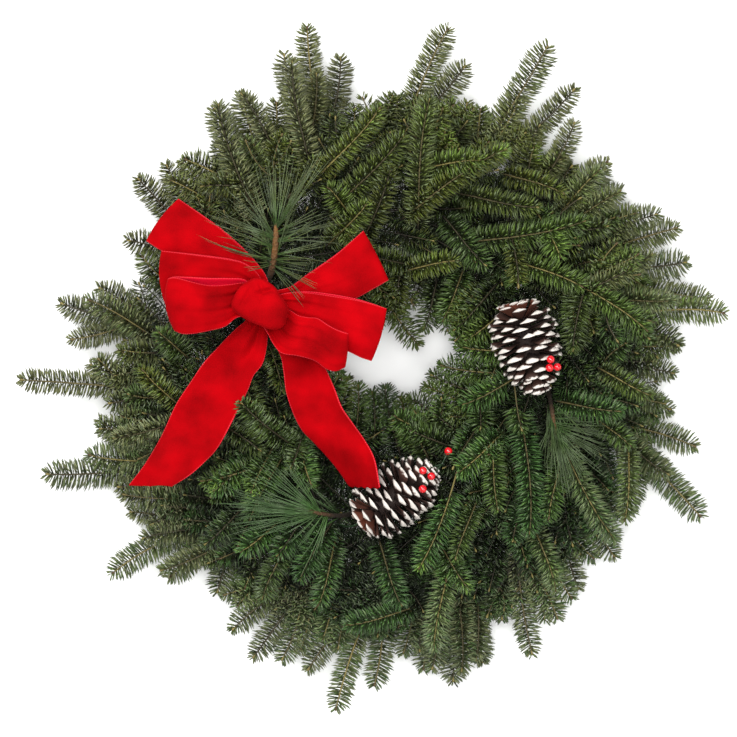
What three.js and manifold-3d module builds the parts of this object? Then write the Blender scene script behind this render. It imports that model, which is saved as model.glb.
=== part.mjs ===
// A fresh evergreen wreath lying on its back: balsam fir branches clamped round a double wire ring,
// with a red velvet ribbon bow, two white-tipped pine cones, red berries and three white pine sprays.
// Millimetres, +Z out of the wreath's face, +Y towards its top, origin under the middle of its box.

import * as THREE from 'three';
import { mergeVertices } from 'three/addons/utils/BufferGeometryUtils.js';
import Module from 'manifold-3d';

const wasm = await Module();
wasm.setup();

// The ring: two rails of square wire welded on 18 clamps, which are closed over the stems
const WIRE = 3.2;
const WELD = 0.3;
const INNER_RAIL = 128;
const OUTER_RAIL = 152;
const RAIL_SIDES = 36;
const CLAMP_COUNT = 18;
const CLAMP_FIRST = 182;
const CLAMP_STEP = 20;
const CLAMP_INSIDE = 121.4;
const CLAMP_OUTSIDE = 158.6;
const CLAMP_OPENING = 9;

// Where stems pass through a clamp, as radii, and how far a stem runs back past it
const SLOT = { inner: 133.4, face: 141, outer: 148 };
const CUT_END = 6;
const STEM_HEIGHT = 7.3;
const INNER_STEM_HEIGHT = 6.6;
const FACE_STEM_HEIGHT = 5.1;
const FACE_SLOPE = 0.3;

// Fir: the stems are three-sided, with six needles at each whorl
const STEM_RADIUS = 2.1;
const TIP_RADIUS = 1.0;
const SIDE_STEM_RADIUS = 1.3;
const BARE_SHARE = 0.3;
const SIDE_BARE = 9;
const WHORL_PITCH = 23;
const WHORL_STEP = 2.2;
const BUD_ROOM = 7;
const CLEARANCE = 0.45;
const FLOOR_CLEARANCE = 1;

// Needles of one whorl: face of the stem and part of that face, angle round the stem (0 is to the
// right and 90 up), lean away from the stem's line, and length
const FIR_WHORL = [
  { face: 0, part: 0, round: -5, lean: 50, length: 19 },
  { face: 0, part: 1, round: 52, lean: 66, length: 15 },
  { face: 1, part: 0, round: 128, lean: 66, length: 15 },
  { face: 1, part: 1, round: 185, lean: 50, length: 19 },
  { face: 2, part: 0, round: 232, lean: 60, length: 13 },
  { face: 2, part: 1, round: 308, lean: 60, length: 13 },
];
const TIP_LEAN_SHARE = 0.62;

// Outer branches, one for each clamp. A tip is [angle, radius] of the foliage's outline, and a side
// twig adds where it forks
const OUTER_BRANCHES = [
  { tip: [169.2, 301], sides: [[175.3, 288, 0.42], [165, 271, 0.5]] },
  { tip: [143.5, 282], sides: [[154.6, 262, 0.4], [138.2, 270, 0.6]] },
  { tip: [119.1, 277], sides: [[135.1, 261, 0.35], [124.6, 279, 0.55], [113.6, 257, 0.5]] },
  { tip: [104, 312], sides: [[109, 295, 0.45], [99.4, 280, 0.45]] },
  { tip: [80.5, 305], sides: [[92.4, 229, 0.3], [76.2, 276, 0.5]] },
  { tip: [64, 317], sides: [[71, 243, 0.4], [56.6, 296, 0.4]] },
  { tip: [43.4, 266], sides: [[51, 243, 0.4], [37.4, 258, 0.5]] },
  { tip: [25.8, 283], sides: [[31.5, 240, 0.5], [19.4, 279, 0.45]] },
  { tip: [8.9, 300], sides: [[14, 240, 0.4], [3.8, 257, 0.5]] },
  { tip: [-26.1, 307], sides: [[-8.8, 253, 0.22], [-14.9, 281, 0.4], [-33, 245, 0.6]] },
  { tip: [-40.6, 262], sides: [[-35.3, 232, 0.5], [-50.2, 260, 0.45]] },
  { tip: [-64.1, 286], sides: [[-56.8, 270, 0.45], [-69.5, 240, 0.5]] },
  { tip: [-79, 287], sides: [[-73, 277, 0.5], [-84.1, 273, 0.5]] },
  { tip: [-99.3, 311], sides: [[-93.2, 286, 0.4], [-105.5, 282, 0.5]] },
  { tip: [-115.5, 288], sides: [[-110.6, 280, 0.55], [-121.2, 275, 0.5]] },
  { tip: [-143.4, 311], sides: [[-127.5, 256, 0.3], [-136.5, 275, 0.45], [-151, 268, 0.55]] },
  { tip: [-162.7, 323], sides: [[-156.3, 268, 0.4], [-169.6, 265, 0.5]] },
  { tip: [-177.9, 331], sides: [[-173, 278, 0.45], [178.4, 262, 0.55]] },
];
const OUTER_TIP_HEIGHTS = [20, 27, 34];
const OUTER_SPLAY = 25;
const OUTER_LEAN = 12;
const NEEDLES_PAST_BUD = 9;

// Face branches: clamp, tip [x, y], heading of the tip and its height; side tips [x, y, fork]
const FACE_BRANCHES = [
  { clamp: 1, tip: [-172, 150], heading: 110, top: 60, sides: [[-204, 96, 0.4], [-140, 165, 0.5]] },
  { clamp: 2, tip: [-96, 205], heading: 62, top: 64, sides: [[-131, 190, 0.4], [-62, 184, 0.45]] },
  { clamp: 3, tip: [-11, 228], heading: 54, top: 60, sides: [[10, 203, 0.35], [-40, 213, 0.5]] },
  { clamp: 5, tip: [32, 234], heading: 74, top: 66, sides: [[101, 191, 0.3], [54, 200, 0.5]] },
  { clamp: 6, tip: [170, 128], heading: 14, top: 66, sides: [[111, 68, 0.3], [148, 95, 0.6]] },
  { clamp: 7, tip: [218, 99], heading: 30, top: 72, sides: [[227, 23, 0.5], [161, 14, 0.5]] },
  { clamp: 8, tip: [202, -40], heading: -24, top: 52, sides: [[196, 4, 0.5]] },
  { clamp: 9, tip: [197, -154], heading: -56, top: 50, sides: [[160, -160, 0.55]] },
  { clamp: 10, tip: [121, -148], heading: -84, top: 66, sides: [[138, -98, 0.3], [90, -84, 0.3]] },
  { clamp: 11, tip: [92, -150], heading: -92, top: 56, sides: [[118, -172, 0.4], [70, -128, 0.4]] },
  { clamp: 12, tip: [33, -172], heading: -124, top: 62, sides: [[62, -182, 0.35]] },
  { clamp: 13, tip: [-41, -228], heading: -164, top: 50, sides: [[8, -214, 0.35], [-56, -196, 0.6]] },
  { clamp: 15, tip: [-165, -103], heading: 190, top: 58, sides: [[-136, -160, 0.35]] },
  { clamp: 16, tip: [-224, -2], heading: 136, top: 54, sides: [[-246, -63, 0.35], [-200, 34, 0.6]] },
];

// Inner branches, which point into the hole: clamp, tip [x, y] and its height
const INNER_BRANCHES = [
  { clamp: 3, tip: [-16, 54], top: 46 },
  { clamp: 5, tip: [40, 56], top: 40 },
  { clamp: 7, tip: [72, 16], top: 46 },
  { clamp: 10, tip: [60, -32], top: 40 },
  { clamp: 12, tip: [20, -42], top: 46 },
  { clamp: 15, tip: [-34, -40], top: 40 },
  { clamp: 17, tip: [-58, -8], top: 46 },
];
const INNER_SPLAY = 25;
const INNER_TURN = 40;

// White pine: routes of the stems from their clamps, and the needle bundles round their last part
const PINE_ROUTES = [
  [[-128.7, 35.5, 4.9], [-126.9, 41.2, 5.1], [-125, 47, 6.4], [-119, 58, 26], [-112, 70, 62],
    [-105, 86, 92], [-102, 106, 104], [-101.5, 127, 108]],
  [[-12.6, -132.9, 4.9], [-18.6, -132.1, 5.1], [-24.6, -131.5, 6.4], [-34, -131, 22], [-45, -132, 46],
    [-56, -131, 64], [-66, -129, 73], [-76, -127, 76]],
  [[133.2, 10.6, 4.9], [133.3, 4.7, 5.1], [133.6, -1.3, 6.4], [136, -12, 22], [139, -27, 46],
    [141, -40, 62], [143, -54, 70], [145, -66, 73]],
];
const PINE_STEM_RADIUS = 2.8;
const PINE_TIP_RADIUS = 1.9;
const PINE_LEAFY_LENGTH = 42;
const PINE_WHORLS = 6;
const PINE_STEP = 3;
const PINE_NEEDLE = 76;
const PINE_LEANS = [100, 24];
const PINE_ROUNDS = [[-10, 30], [150, 190], [228, 312]];
const PINE_BUD_ROOM = 6;
const PINE_BENDS = 4;

// Cones: two lattices of scales on the golden angle
const CONES = [
  { at: [118.8, 15.8, 72], heading: -75, pitch: 0 },
  { at: [4.4, -113.5, 66], heading: 36, pitch: 0 },
];
const CONE_LENGTH = 84;
const CONE_CORE_RADIUS = 19;
const CONE_RADIUS = 33;
const SCALE_COUNT = 74;
const GOLDEN_ANGLE = 137.5077;
const STEP_A = 8;
const STEP_B = 13;

// Wires: the picks that hold the cones, and the tie of the bow
const PICK_RADIUS = 0.8;
const PICK_SIDES = 4;

// Berries: centres of each cluster, and the wire stems' far ends
const BERRY_RADIUS = 3.5;
const BERRY_STEM_RADIUS = 0.8;

// The bow: velvet ribbon 50 mm wide, three loops a side, two tails and a knot
const RIBBON_WIDTH = 50;
const RIBBON_THICKNESS = 1.2;
const KNOT = [-114.4, 53.7, 126.2];
const KNOT_SIZE = [26, 20, 15];
const KNOT_TURN = -25;
const PINCH = 9;
const PINCH_WIDTH = 18;
const LOOPS = [
  { name: 'right_upper', heading: 22, length: 108, level: 98.9, rise: 2, depth: 9, skew: 0.05 },
  { name: 'right_middle', heading: -15, length: 106, level: 104, rise: 10, depth: 10, skew: 0 },
  { name: 'right_front', heading: -30, length: 86, level: 109.1, rise: 21, depth: 14, skew: -0.3 },
  { name: 'left_upper', heading: 140, length: 113, level: 98.9, rise: -4, depth: 9, skew: 0.05 },
  { name: 'left_middle', heading: 166, length: 90, level: 104, rise: 10, depth: 10, skew: 0.3 },
  { name: 'left_front', heading: 182, length: 77, level: 109.1, rise: 22, depth: 16, skew: 0.05 },
];
const TAILS = [
  {
    name: 'left',
    route: [[-115, 52.5, 93.3], [-120, 41, 92], [-129, 22, 90], [-141, -2, 88], [-158, -28, 87],
      [-174, -55, 84], [-194, -83, 78], [-212, -101, 70]],
    roll: [0, 0, 0, 6, 18, 26, 22, 14],
  },
  {
    name: 'right',
    route: [[-113.7, 52.5, 95.3], [-108, 41, 94], [-98, 23, 92], [-84, 2, 91], [-71, -21, 92],
      [-58, -47, 92], [-43, -68, 93], [-30, -88, 94], [-25, -106, 94]],
    roll: [0, 0, 0, 4, 14, 24, 32, 38, 40],
  },
];

const DEGREE = Math.PI / 180;
const UP = new THREE.Vector3(0, 0, 1);

function point([x, y, z]) {
  return new THREE.Vector3(x, y, z);
}

function polar(radius, degrees, z = 0) {
  return new THREE.Vector3(radius * Math.cos(degrees * DEGREE), radius * Math.sin(degrees * DEGREE), z);
}

function headed(degrees) {
  return polar(1, degrees);
}

// Seeded numbers from 0 to 1, the same in every build
function seededDraw(seed) {
  let state = seed;
  return () => {
    state = (state + 0x6d2b79f5) | 0;
    let mixed = Math.imul(state ^ (state >>> 15), 1 | state);
    mixed = (mixed + Math.imul(mixed ^ (mixed >>> 7), 61 | mixed)) ^ mixed;
    return ((mixed ^ (mixed >>> 14)) >>> 0) / 4294967296;
  };
}

function surface(points, triangles) {
  const geometry = new THREE.BufferGeometry().setFromPoints(points);
  geometry.setIndex(triangles.flat());
  return geometry;
}

function solidOf(geometry) {
  const bare = geometry.clone();
  bare.deleteAttribute('normal');
  bare.deleteAttribute('uv');
  const merged = mergeVertices(bare, 1e-4);
  return new wasm.Manifold(new wasm.Mesh({
    numProp: 3,
    vertProperties: new Float32Array(merged.attributes.position.array),
    triVerts: new Uint32Array(merged.index.array),
  }));
}

function joined(geometries) {
  const whole = geometries.map(solidOf).reduce((one, other) => one.add(other));
  const mesh = whole.getMesh();
  const geometry = new THREE.BufferGeometry();
  geometry.setAttribute('position', new THREE.BufferAttribute(mesh.vertProperties, 3));
  geometry.setIndex(new THREE.BufferAttribute(mesh.triVerts, 1));
  return geometry;
}

// Room already taken, kept as tapered rods in the cells of a coarse grid
const CELL = 25;
const takenRoom = new Map();

function cellsOf(a, b, reach) {
  const names = [];
  const low = a.clone().min(b).subScalar(reach).divideScalar(CELL).floor();
  const high = a.clone().max(b).addScalar(reach).divideScalar(CELL).floor();
  for (let x = low.x; x <= high.x; x += 1) {
    for (let y = low.y; y <= high.y; y += 1) {
      for (let z = low.z; z <= high.z; z += 1) names.push(`${x},${y},${z}`);
    }
  }
  return names;
}

function takeRoom(owner, a, b, radiusA, radiusB) {
  const rod = { owner, a, b, radiusA, radiusB };
  for (const name of cellsOf(a, b, Math.max(radiusA, radiusB))) {
    if (!takenRoom.has(name)) takenRoom.set(name, []);
    takenRoom.get(name).push(rod);
  }
}

// How far along two straight rods, from 0 to 1, they come nearest
function nearestShares(a, b, c, d) {
  const u = b.clone().sub(a);
  const v = d.clone().sub(c);
  const w = a.clone().sub(c);
  const uu = Math.max(u.dot(u), 1e-9);
  const vv = Math.max(v.dot(v), 1e-9);
  const uv = u.dot(v);
  const spread = uu * vv - uv * uv;
  let s = spread > 1e-9 ? THREE.MathUtils.clamp((uv * v.dot(w) - vv * u.dot(w)) / spread, 0, 1) : 0;
  const t = THREE.MathUtils.clamp((uv * s + v.dot(w)) / vv, 0, 1);
  s = THREE.MathUtils.clamp((uv * t - u.dot(w)) / uu, 0, 1);
  return [s, t];
}

function roomBetween(a, b, radiusA, radiusB, rod) {
  const lengthOfRod = rod.b.clone().sub(rod.a);
  const square = Math.max(lengthOfRod.dot(lengthOfRod), 1e-9);
  const pairs = [nearestShares(a, b, rod.a, rod.b)];
  for (const s of [0.25, 0.5, 0.75, 1]) {
    const at = a.clone().lerp(b, s);
    pairs.push([s, THREE.MathUtils.clamp(at.sub(rod.a).dot(lengthOfRod) / square, 0, 1)]);
  }
  const rooms = pairs.map(([s, t]) => {
    const apart = a.clone().lerp(b, s).distanceTo(rod.a.clone().lerp(rod.b, t));
    const thick = radiusA + (radiusB - radiusA) * s + rod.radiusA + (rod.radiusB - rod.radiusA) * t;
    return apart - thick;
  });
  return Math.min(...rooms);
}

function isClear(owner, a, b, radiusA, radiusB) {
  if (Math.min(a.z - radiusA, b.z - radiusB) < FLOOR_CLEARANCE) return false;
  for (const name of cellsOf(a, b, Math.max(radiusA, radiusB) + CLEARANCE)) {
    for (const rod of takenRoom.get(name) ?? []) {
      if (rod.owner !== owner && roomBetween(a, b, radiusA, radiusB, rod) < CLEARANCE) return false;
    }
  }
  return true;
}

// A rail: square wire turned round the ring's axis
function railGeometry(radius) {
  const inside = radius - WIRE / 2;
  const outside = radius + WIRE / 2;
  const low = WIRE - WELD;
  const high = low + WIRE;
  const section = [[inside, low], [outside, low], [outside, high], [inside, high], [inside, low]];
  const rail = new THREE.LatheGeometry(section.map(([r, z]) => new THREE.Vector2(r, z)), RAIL_SIDES);
  rail.rotateX(Math.PI / 2);
  for (let i = 0; i < RAIL_SIDES; i += 1) {
    const a = polar(radius, (i * 360) / RAIL_SIDES, low + WIRE / 2);
    const b = polar(radius, ((i + 1) * 360) / RAIL_SIDES, low + WIRE / 2);
    takeRoom('ring', a, b, WIRE * 0.7, WIRE * 0.7);
  }
  return rail;
}

// A clamp: a flat frame of wire, closed over one layer of stems
function clampGeometry(degrees) {
  const inside = CLAMP_INSIDE;
  const outside = CLAMP_OUTSIDE;
  const top = WIRE + CLAMP_OPENING;
  const frame = new THREE.Shape();
  frame.moveTo(inside - WIRE, 0);
  frame.lineTo(outside + WIRE, 0);
  frame.lineTo(outside + WIRE, top + WIRE);
  frame.lineTo(inside - WIRE, top + WIRE);
  const opening = new THREE.Path();
  opening.moveTo(inside, WIRE);
  opening.lineTo(inside, top);
  opening.lineTo(outside, top);
  opening.lineTo(outside, WIRE);
  frame.holes.push(opening);
  const clamp = new THREE.ExtrudeGeometry(frame, { depth: WIRE, bevelEnabled: false });
  clamp.translate(0, 0, -WIRE / 2);
  clamp.rotateX(Math.PI / 2);
  clamp.rotateZ(degrees * DEGREE);
  const corner = (radius, height) => polar(radius, degrees, height);
  const left = inside - WIRE / 2;
  const right = outside + WIRE / 2;
  const edges = [[left, WIRE / 2, right, WIRE / 2], [left, top + WIRE / 2, right, top + WIRE / 2],
    [left, WIRE / 2, left, top + WIRE / 2], [right, WIRE / 2, right, top + WIRE / 2]];
  for (const [r1, z1, r2, z2] of edges) {
    takeRoom('ring', corner(r1, z1), corner(r2, z2), WIRE * 0.7, WIRE * 0.7);
  }
  return clamp;
}

function clampAngle(index) {
  return CLAMP_FIRST - CLAMP_STEP * index;
}

function ringGeometry() {
  const pieces = [railGeometry(INNER_RAIL), railGeometry(OUTER_RAIL)];
  for (let i = 0; i < CLAMP_COUNT; i += 1) pieces.push(clampGeometry(clampAngle(i)));
  return joined(pieces);
}

// A twig: a three-sided stem along a curve, with short steps where its whorls of needles stand.
// Each whorl raises the six triangles of one step into needles, so twig and needles are one surface.
const FACE_SPLITS = [
  [['a0', 'b0', 'b1'], ['a0', 'b1', 'a1']],
  [['a0', 'b0', 'a1'], ['b0', 'b1', 'a1']],
  [['a0', 'b0', 'b1'], ['a0', 'b1', 'a1']],
];
const CORNER_ANGLES = [-30, 90, 210];

function ringAt(curve, length, at, radius) {
  const centre = curve.getPointAt(at / length);
  const along = curve.getTangentAt(at / length);
  const side = along.clone().cross(UP).normalize();
  const up = side.clone().cross(along);
  const corners = CORNER_ANGLES.map((angle) => centre.clone()
    .addScaledVector(side, radius * Math.cos(angle * DEGREE))
    .addScaledVector(up, radius * Math.sin(angle * DEGREE)));
  return { centre, along, side, up, radius, corners };
}

function planTwig(owner, curve, { radius, tipRadius, bends, starts, step, whorl, seed }) {
  const length = curve.getLength();
  const radiusAt = (at) => radius + (tipRadius - radius) * (at / length);
  const ring = (at, order) => ({ ...ringAt(curve, length, at, radiusAt(at)), order });
  const rings = [0, ...bends].map((at) => ring(at, -1));
  starts.forEach((start, order) => rings.push(ring(start, order), ring(start + step, -1)));
  const apex = curve.getPointAt(1);
  rings.forEach((one, i) => {
    const next = rings[i + 1] ?? { centre: apex, radius: 0.2 };
    takeRoom(owner, one.centre, next.centre, one.radius, next.radius);
  });
  return { owner, rings, apex, whorl, draw: seededDraw(seed) };
}

// A needle's direction at a ring: round the stem, and leaning forwards along it
function needleDirection(ring, round, lean) {
  return ring.along.clone().multiplyScalar(Math.cos(lean * DEGREE))
    .addScaledVector(ring.side, Math.sin(lean * DEGREE) * Math.cos(round * DEGREE))
    .addScaledVector(ring.up, Math.sin(lean * DEGREE) * Math.sin(round * DEGREE));
}

// The first of a few tries that is clear: as it grows, bent up, then shorter
function fitNeedle(owner, root, ring, round, lean, length, thickness) {
  const upright = Math.sign(Math.cos(round * DEGREE)) || 1;
  const tries = [[0, 1], [14 * upright, 1], [0, 0.72], [24 * upright, 0.8], [0, 0.5]];
  for (const [bend, share] of tries) {
    const direction = needleDirection(ring, round + bend, lean);
    const tip = root.clone().addScaledVector(direction, length * share);
    if (isClear(owner, root.clone().addScaledVector(direction, 1.2), tip, thickness, 0.15)) {
      takeRoom(owner, root, tip, thickness, 0.15);
      return tip;
    }
  }
  return null;
}

function growTwig({ owner, rings, apex, whorl, draw }) {
  const points = [];
  const triangles = [];
  const put = (vertex) => points.push(vertex) - 1;
  const indices = rings.map((ring) => ring.corners.map(put));
  triangles.push(indices[0]);
  for (let i = 0; i + 1 < rings.length; i += 1) {
    const { order } = rings[i];
    for (let face = 0; face < 3; face += 1) {
      const next = (face + 1) % 3;
      const corner = {
        a0: indices[i][face], a1: indices[i][next], b0: indices[i + 1][face], b1: indices[i + 1][next],
      };
      FACE_SPLITS[face].forEach((names, part) => {
        const base = names.map((name) => corner[name]);
        const needle = order >= 0 ? whorl(order, face, part, draw) : null;
        const root = base.reduce((sum, j) => sum.add(points[j]), new THREE.Vector3()).divideScalar(3);
        const tip = needle && fitNeedle(owner, root, rings[i], needle.round, needle.lean,
          needle.length, needle.thickness);
        if (!tip) {
          triangles.push(base);
          return;
        }
        const top = put(tip);
        triangles.push([base[0], base[1], top], [base[1], base[2], top], [base[2], base[0], top]);
      });
    }
  }
  const last = indices.at(-1);
  const bud = put(apex);
  for (let face = 0; face < 3; face += 1) triangles.push([last[face], bud, last[(face + 1) % 3]]);
  return surface(points, triangles);
}

function firTwig(owner, curve, isSide, seed) {
  const length = curve.getLength();
  const bare = isSide ? SIDE_BARE : length * BARE_SHARE;
  const leafy = length - BUD_ROOM - bare;
  const count = Math.max(2, Math.round(leafy / WHORL_PITCH) + 1);
  const starts = Array.from({ length: count }, (_, i) => bare + (leafy * i) / (count - 1));
  const past = 2 * CUT_END;
  const bends = isSide ? [] : [past, (past + bare) / 2];
  const whorl = (order, face, part, draw) => {
    const needle = FIR_WHORL.find((one) => one.face === face && one.part === part);
    const isLast = order === count - 1;
    return {
      round: needle.round + 8 * (draw() - 0.5),
      lean: needle.lean * (isLast ? TIP_LEAN_SHARE : 1) + 6 * (draw() - 0.5),
      length: needle.length * (0.92 + 0.16 * draw()),
      thickness: 1.1,
    };
  };
  const radius = isSide ? SIDE_STEM_RADIUS : STEM_RADIUS;
  return planTwig(owner, curve, {
    radius, tipRadius: TIP_RADIUS, bends, starts, step: WHORL_STEP, whorl, seed,
  });
}

// The main stem's curve leaves its clamp along one direction and ends along another
function mainCurve(start, leaving, tip, arriving, pull = [0.3, 0.35]) {
  const span = start.distanceTo(tip);
  return new THREE.CubicBezierCurve3(
    start,
    start.clone().addScaledVector(leaving, span * pull[0]),
    tip.clone().addScaledVector(arriving, -span * pull[1]),
    tip,
  );
}

// A side twig forks off the main stem at a share of its length and bends forwards to its own tip
function sideCurve(main, fork, tip) {
  const start = main.getPointAt(fork);
  const along = main.getTangentAt(fork);
  const towards = tip.clone().sub(start);
  const turn = along.clone().cross(towards).z < 0 ? -1 : 1;
  const leaving = along.clone().applyAxisAngle(UP, turn * 42 * DEGREE);
  const bend = start.clone().addScaledVector(leaving, towards.length() * 0.45);
  return new THREE.QuadraticBezierCurve3(start, bend, tip);
}

function planBranch(name, main, sideTips, seed) {
  const twigs = [firTwig(`${name}/main`, main, false, seed)];
  sideTips.forEach(({ tip, fork }, i) => {
    twigs.push(firTwig(`${name}/side${i}`, sideCurve(main, fork, tip), true, seed + 7 * (i + 1)));
  });
  return { name, twigs };
}

function outerBranch(index) {
  const { tip, sides } = OUTER_BRANCHES[index];
  const angle = clampAngle(index);
  const height = OUTER_TIP_HEIGHTS[index % 3];
  const leaving = headed(angle - 90 + OUTER_SPLAY);
  const start = polar(SLOT.outer, angle, STEM_HEIGHT).addScaledVector(leaving, -CUT_END);
  leaving.z = 0.04;
  const end = polar(tip[1] - NEEDLES_PAST_BUD, tip[0], height);
  const main = mainCurve(start, leaving, end, headed(tip[0] - OUTER_LEAN));
  const sideTips = sides.map(([degrees, radius, fork]) => ({
    tip: polar(radius - NEEDLES_PAST_BUD, degrees, height - 2), fork,
  }));
  return planBranch(`fir_outer_${String(index + 1).padStart(2, '0')}`, main, sideTips, 100 + index);
}

function faceBranch(row, order) {
  const angle = clampAngle(row.clamp);
  const leaving = headed(angle - 90);
  const start = polar(SLOT.face, angle, FACE_STEM_HEIGHT).addScaledVector(leaving, -CUT_END);
  start.z -= CUT_END * FACE_SLOPE;
  leaving.z = FACE_SLOPE;
  const arriving = headed(row.heading);
  arriving.z = 0.12;
  const end = new THREE.Vector3(row.tip[0], row.tip[1], row.top);
  const main = mainCurve(start, leaving, end, arriving, [0.38, 0.38]);
  const sideTips = row.sides.map(([x, y, fork]) => ({ tip: new THREE.Vector3(x, y, row.top - 3), fork }));
  return planBranch(`fir_face_${String(order + 1).padStart(2, '0')}`, main, sideTips, 300 + order);
}

function innerBranch(row, order) {
  const angle = clampAngle(row.clamp);
  const leaving = headed(angle - 90 - INNER_SPLAY);
  const start = polar(SLOT.inner, angle, INNER_STEM_HEIGHT).addScaledVector(leaving, -CUT_END);
  leaving.z = 0.02;
  const end = new THREE.Vector3(row.tip[0], row.tip[1], row.top);
  const outward = Math.atan2(row.tip[1], row.tip[0]) / DEGREE;
  const arriving = headed(outward + 180 + INNER_TURN);
  arriving.z = 0.3;
  const main = mainCurve(start, leaving, end, arriving, [0.35, 0.35]);
  return planBranch(`fir_inner_${order + 1}`, main, [], 500 + order);
}

// White pine: a stem with long needle bundles spread like a fan round its last part
function pineSpray(route, order) {
  const curve = new THREE.CatmullRomCurve3(route.map(point), false, 'centripetal');
  const bare = curve.getLength() - PINE_BUD_ROOM - PINE_LEAFY_LENGTH;
  const starts = Array.from({ length: PINE_WHORLS }, (_, i) => (
    bare + (PINE_LEAFY_LENGTH * i) / (PINE_WHORLS - 1)
  ));
  const past = 2 * CUT_END;
  const bends = Array.from({ length: PINE_BENDS }, (_, i) => past + ((bare - past) * i) / PINE_BENDS);
  const whorl = (place, face, part, draw) => {
    const share = place / (PINE_WHORLS - 1);
    const isLow = face === 2;
    return {
      round: PINE_ROUNDS[face][part] + 14 * (draw() - 0.5),
      lean: PINE_LEANS[0] + (PINE_LEANS[1] - PINE_LEANS[0]) * share + 10 * (draw() - 0.5),
      length: PINE_NEEDLE * (isLow ? 0.7 : 1) * (0.86 + 0.14 * draw()),
      thickness: 1.2,
    };
  };
  const twig = planTwig(`pine_${order}`, curve, {
    radius: PINE_STEM_RADIUS, tipRadius: PINE_TIP_RADIUS, bends, starts, step: PINE_STEP, whorl,
    seed: 700 + order,
  });
  return { name: `white_pine_spray_${order + 1}`, twigs: [twig] };
}

// A cone: lattice points a golden angle apart wind up a spindle, and each diamond of four of them
// is raised into one scale with a rounded lip, which is closed at both ends by fans
function spindle(share) {
  return Math.sin(Math.PI * Math.min(1, 0.2 + 0.8 * share) ** 1.15) ** 0.62;
}

function coneGeometry() {
  const count = SCALE_COUNT + STEP_A + STEP_B;
  const coreLength = CONE_LENGTH * 0.86;
  const place = (i) => {
    const share = i / (count - 1);
    const radius = Math.max(2.4, CONE_CORE_RADIUS * spindle(share));
    return polar(radius, i * GOLDEN_ANGLE, (share - 0.5) * coreLength);
  };
  const points = Array.from({ length: count }, (_, i) => place(i));
  const triangles = [];
  for (let i = 0; i < SCALE_COUNT; i += 1) {
    const [foot, right, left, top] = [i, i + STEP_A, i + STEP_B, i + STEP_A + STEP_B];
    const middle = points[foot].clone().add(points[left]).add(points[right]).add(points[top]).divideScalar(4);
    const share = (i + 10.5) / (count - 1);
    const lean = (-6 + 84 * share ** 1.5) * DEGREE;
    const outward = new THREE.Vector3(middle.x, middle.y, 0).normalize();
    const across = UP.clone().cross(outward);
    const forward = outward.clone().multiplyScalar(Math.cos(lean)).addScaledVector(UP, Math.sin(lean));
    const full = spindle(Math.min(1, share * 1.02));
    const reach = (CONE_RADIUS - CONE_CORE_RADIUS) * (0.45 + 0.55 * full);
    const wide = 15.5 * full ** 0.9 * 0.5;
    const lip = middle.clone().addScaledVector(forward, reach);
    const [leftEnd, rightEnd] = [-1, 1].map((hand) => middle.clone()
      .addScaledVector(forward, reach - 3 * full)
      .addScaledVector(across, hand * wide));
    const [a, b, c] = [leftEnd, lip, rightEnd].map((vertex) => points.push(vertex) - 1);
    triangles.push([foot, right, c], [right, top, c], [top, left, a], [left, foot, a]);
    triangles.push([foot, c, b], [foot, b, a], [top, a, b], [top, b, c]);
  }
  const butt = points.push(new THREE.Vector3(0, 0, -coreLength / 2 - 1)) - 1;
  const crown = points.push(new THREE.Vector3(0, 0, coreLength / 2 + 3)) - 1;
  for (let i = 0; i < STEP_B; i += 1) {
    const j = SCALE_COUNT + i;
    triangles.push([butt, i + STEP_A, i], [crown, j, j + STEP_A]);
  }
  for (let i = 0; i < STEP_A; i += 1) {
    const j = SCALE_COUNT + i;
    triangles.push([butt, i, i + STEP_B], [crown, j + STEP_B, j]);
  }
  return surface(points, triangles);
}

function coneMesh({ at, heading, pitch }, order, material) {
  const mesh = new THREE.Mesh(coneGeometry(), material);
  mesh.name = `pine_cone_${order + 1}`;
  mesh.rotation.set(0, (90 - pitch) * DEGREE, heading * DEGREE, 'ZYX');
  mesh.position.copy(point(at));
  const axis = headed(heading);
  const profile = [[-40, 24], [-28, 31], [-10, 35], [8, 33], [24, 26], [38, 16], [45, 8]];
  for (let i = 0; i + 1 < profile.length; i += 1) {
    const [s1, r1] = profile[i];
    const [s2, r2] = profile[i + 1];
    const a = point(at).addScaledVector(axis, s1);
    const b = point(at).addScaledVector(axis, s2);
    takeRoom('cones', a, b, r1, r2);
  }
  return mesh;
}

// Wires: thin tubes along hand-chosen routes, which hook under a rail of the ring
function hookRoute(railRadius, degrees) {
  const side = WIRE / 2 + PICK_RADIUS + 1.2;
  const low = WIRE - WELD - PICK_RADIUS - 0.8;
  return [
    polar(railRadius - side, degrees, 11), polar(railRadius - side, degrees, 3),
    polar(railRadius - side + 0.8, degrees, low), polar(railRadius, degrees, low - 0.1),
    polar(railRadius + side - 0.8, degrees, low),
    polar(railRadius + side, degrees, 3), polar(railRadius + side, degrees, 8),
  ];
}

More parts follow.
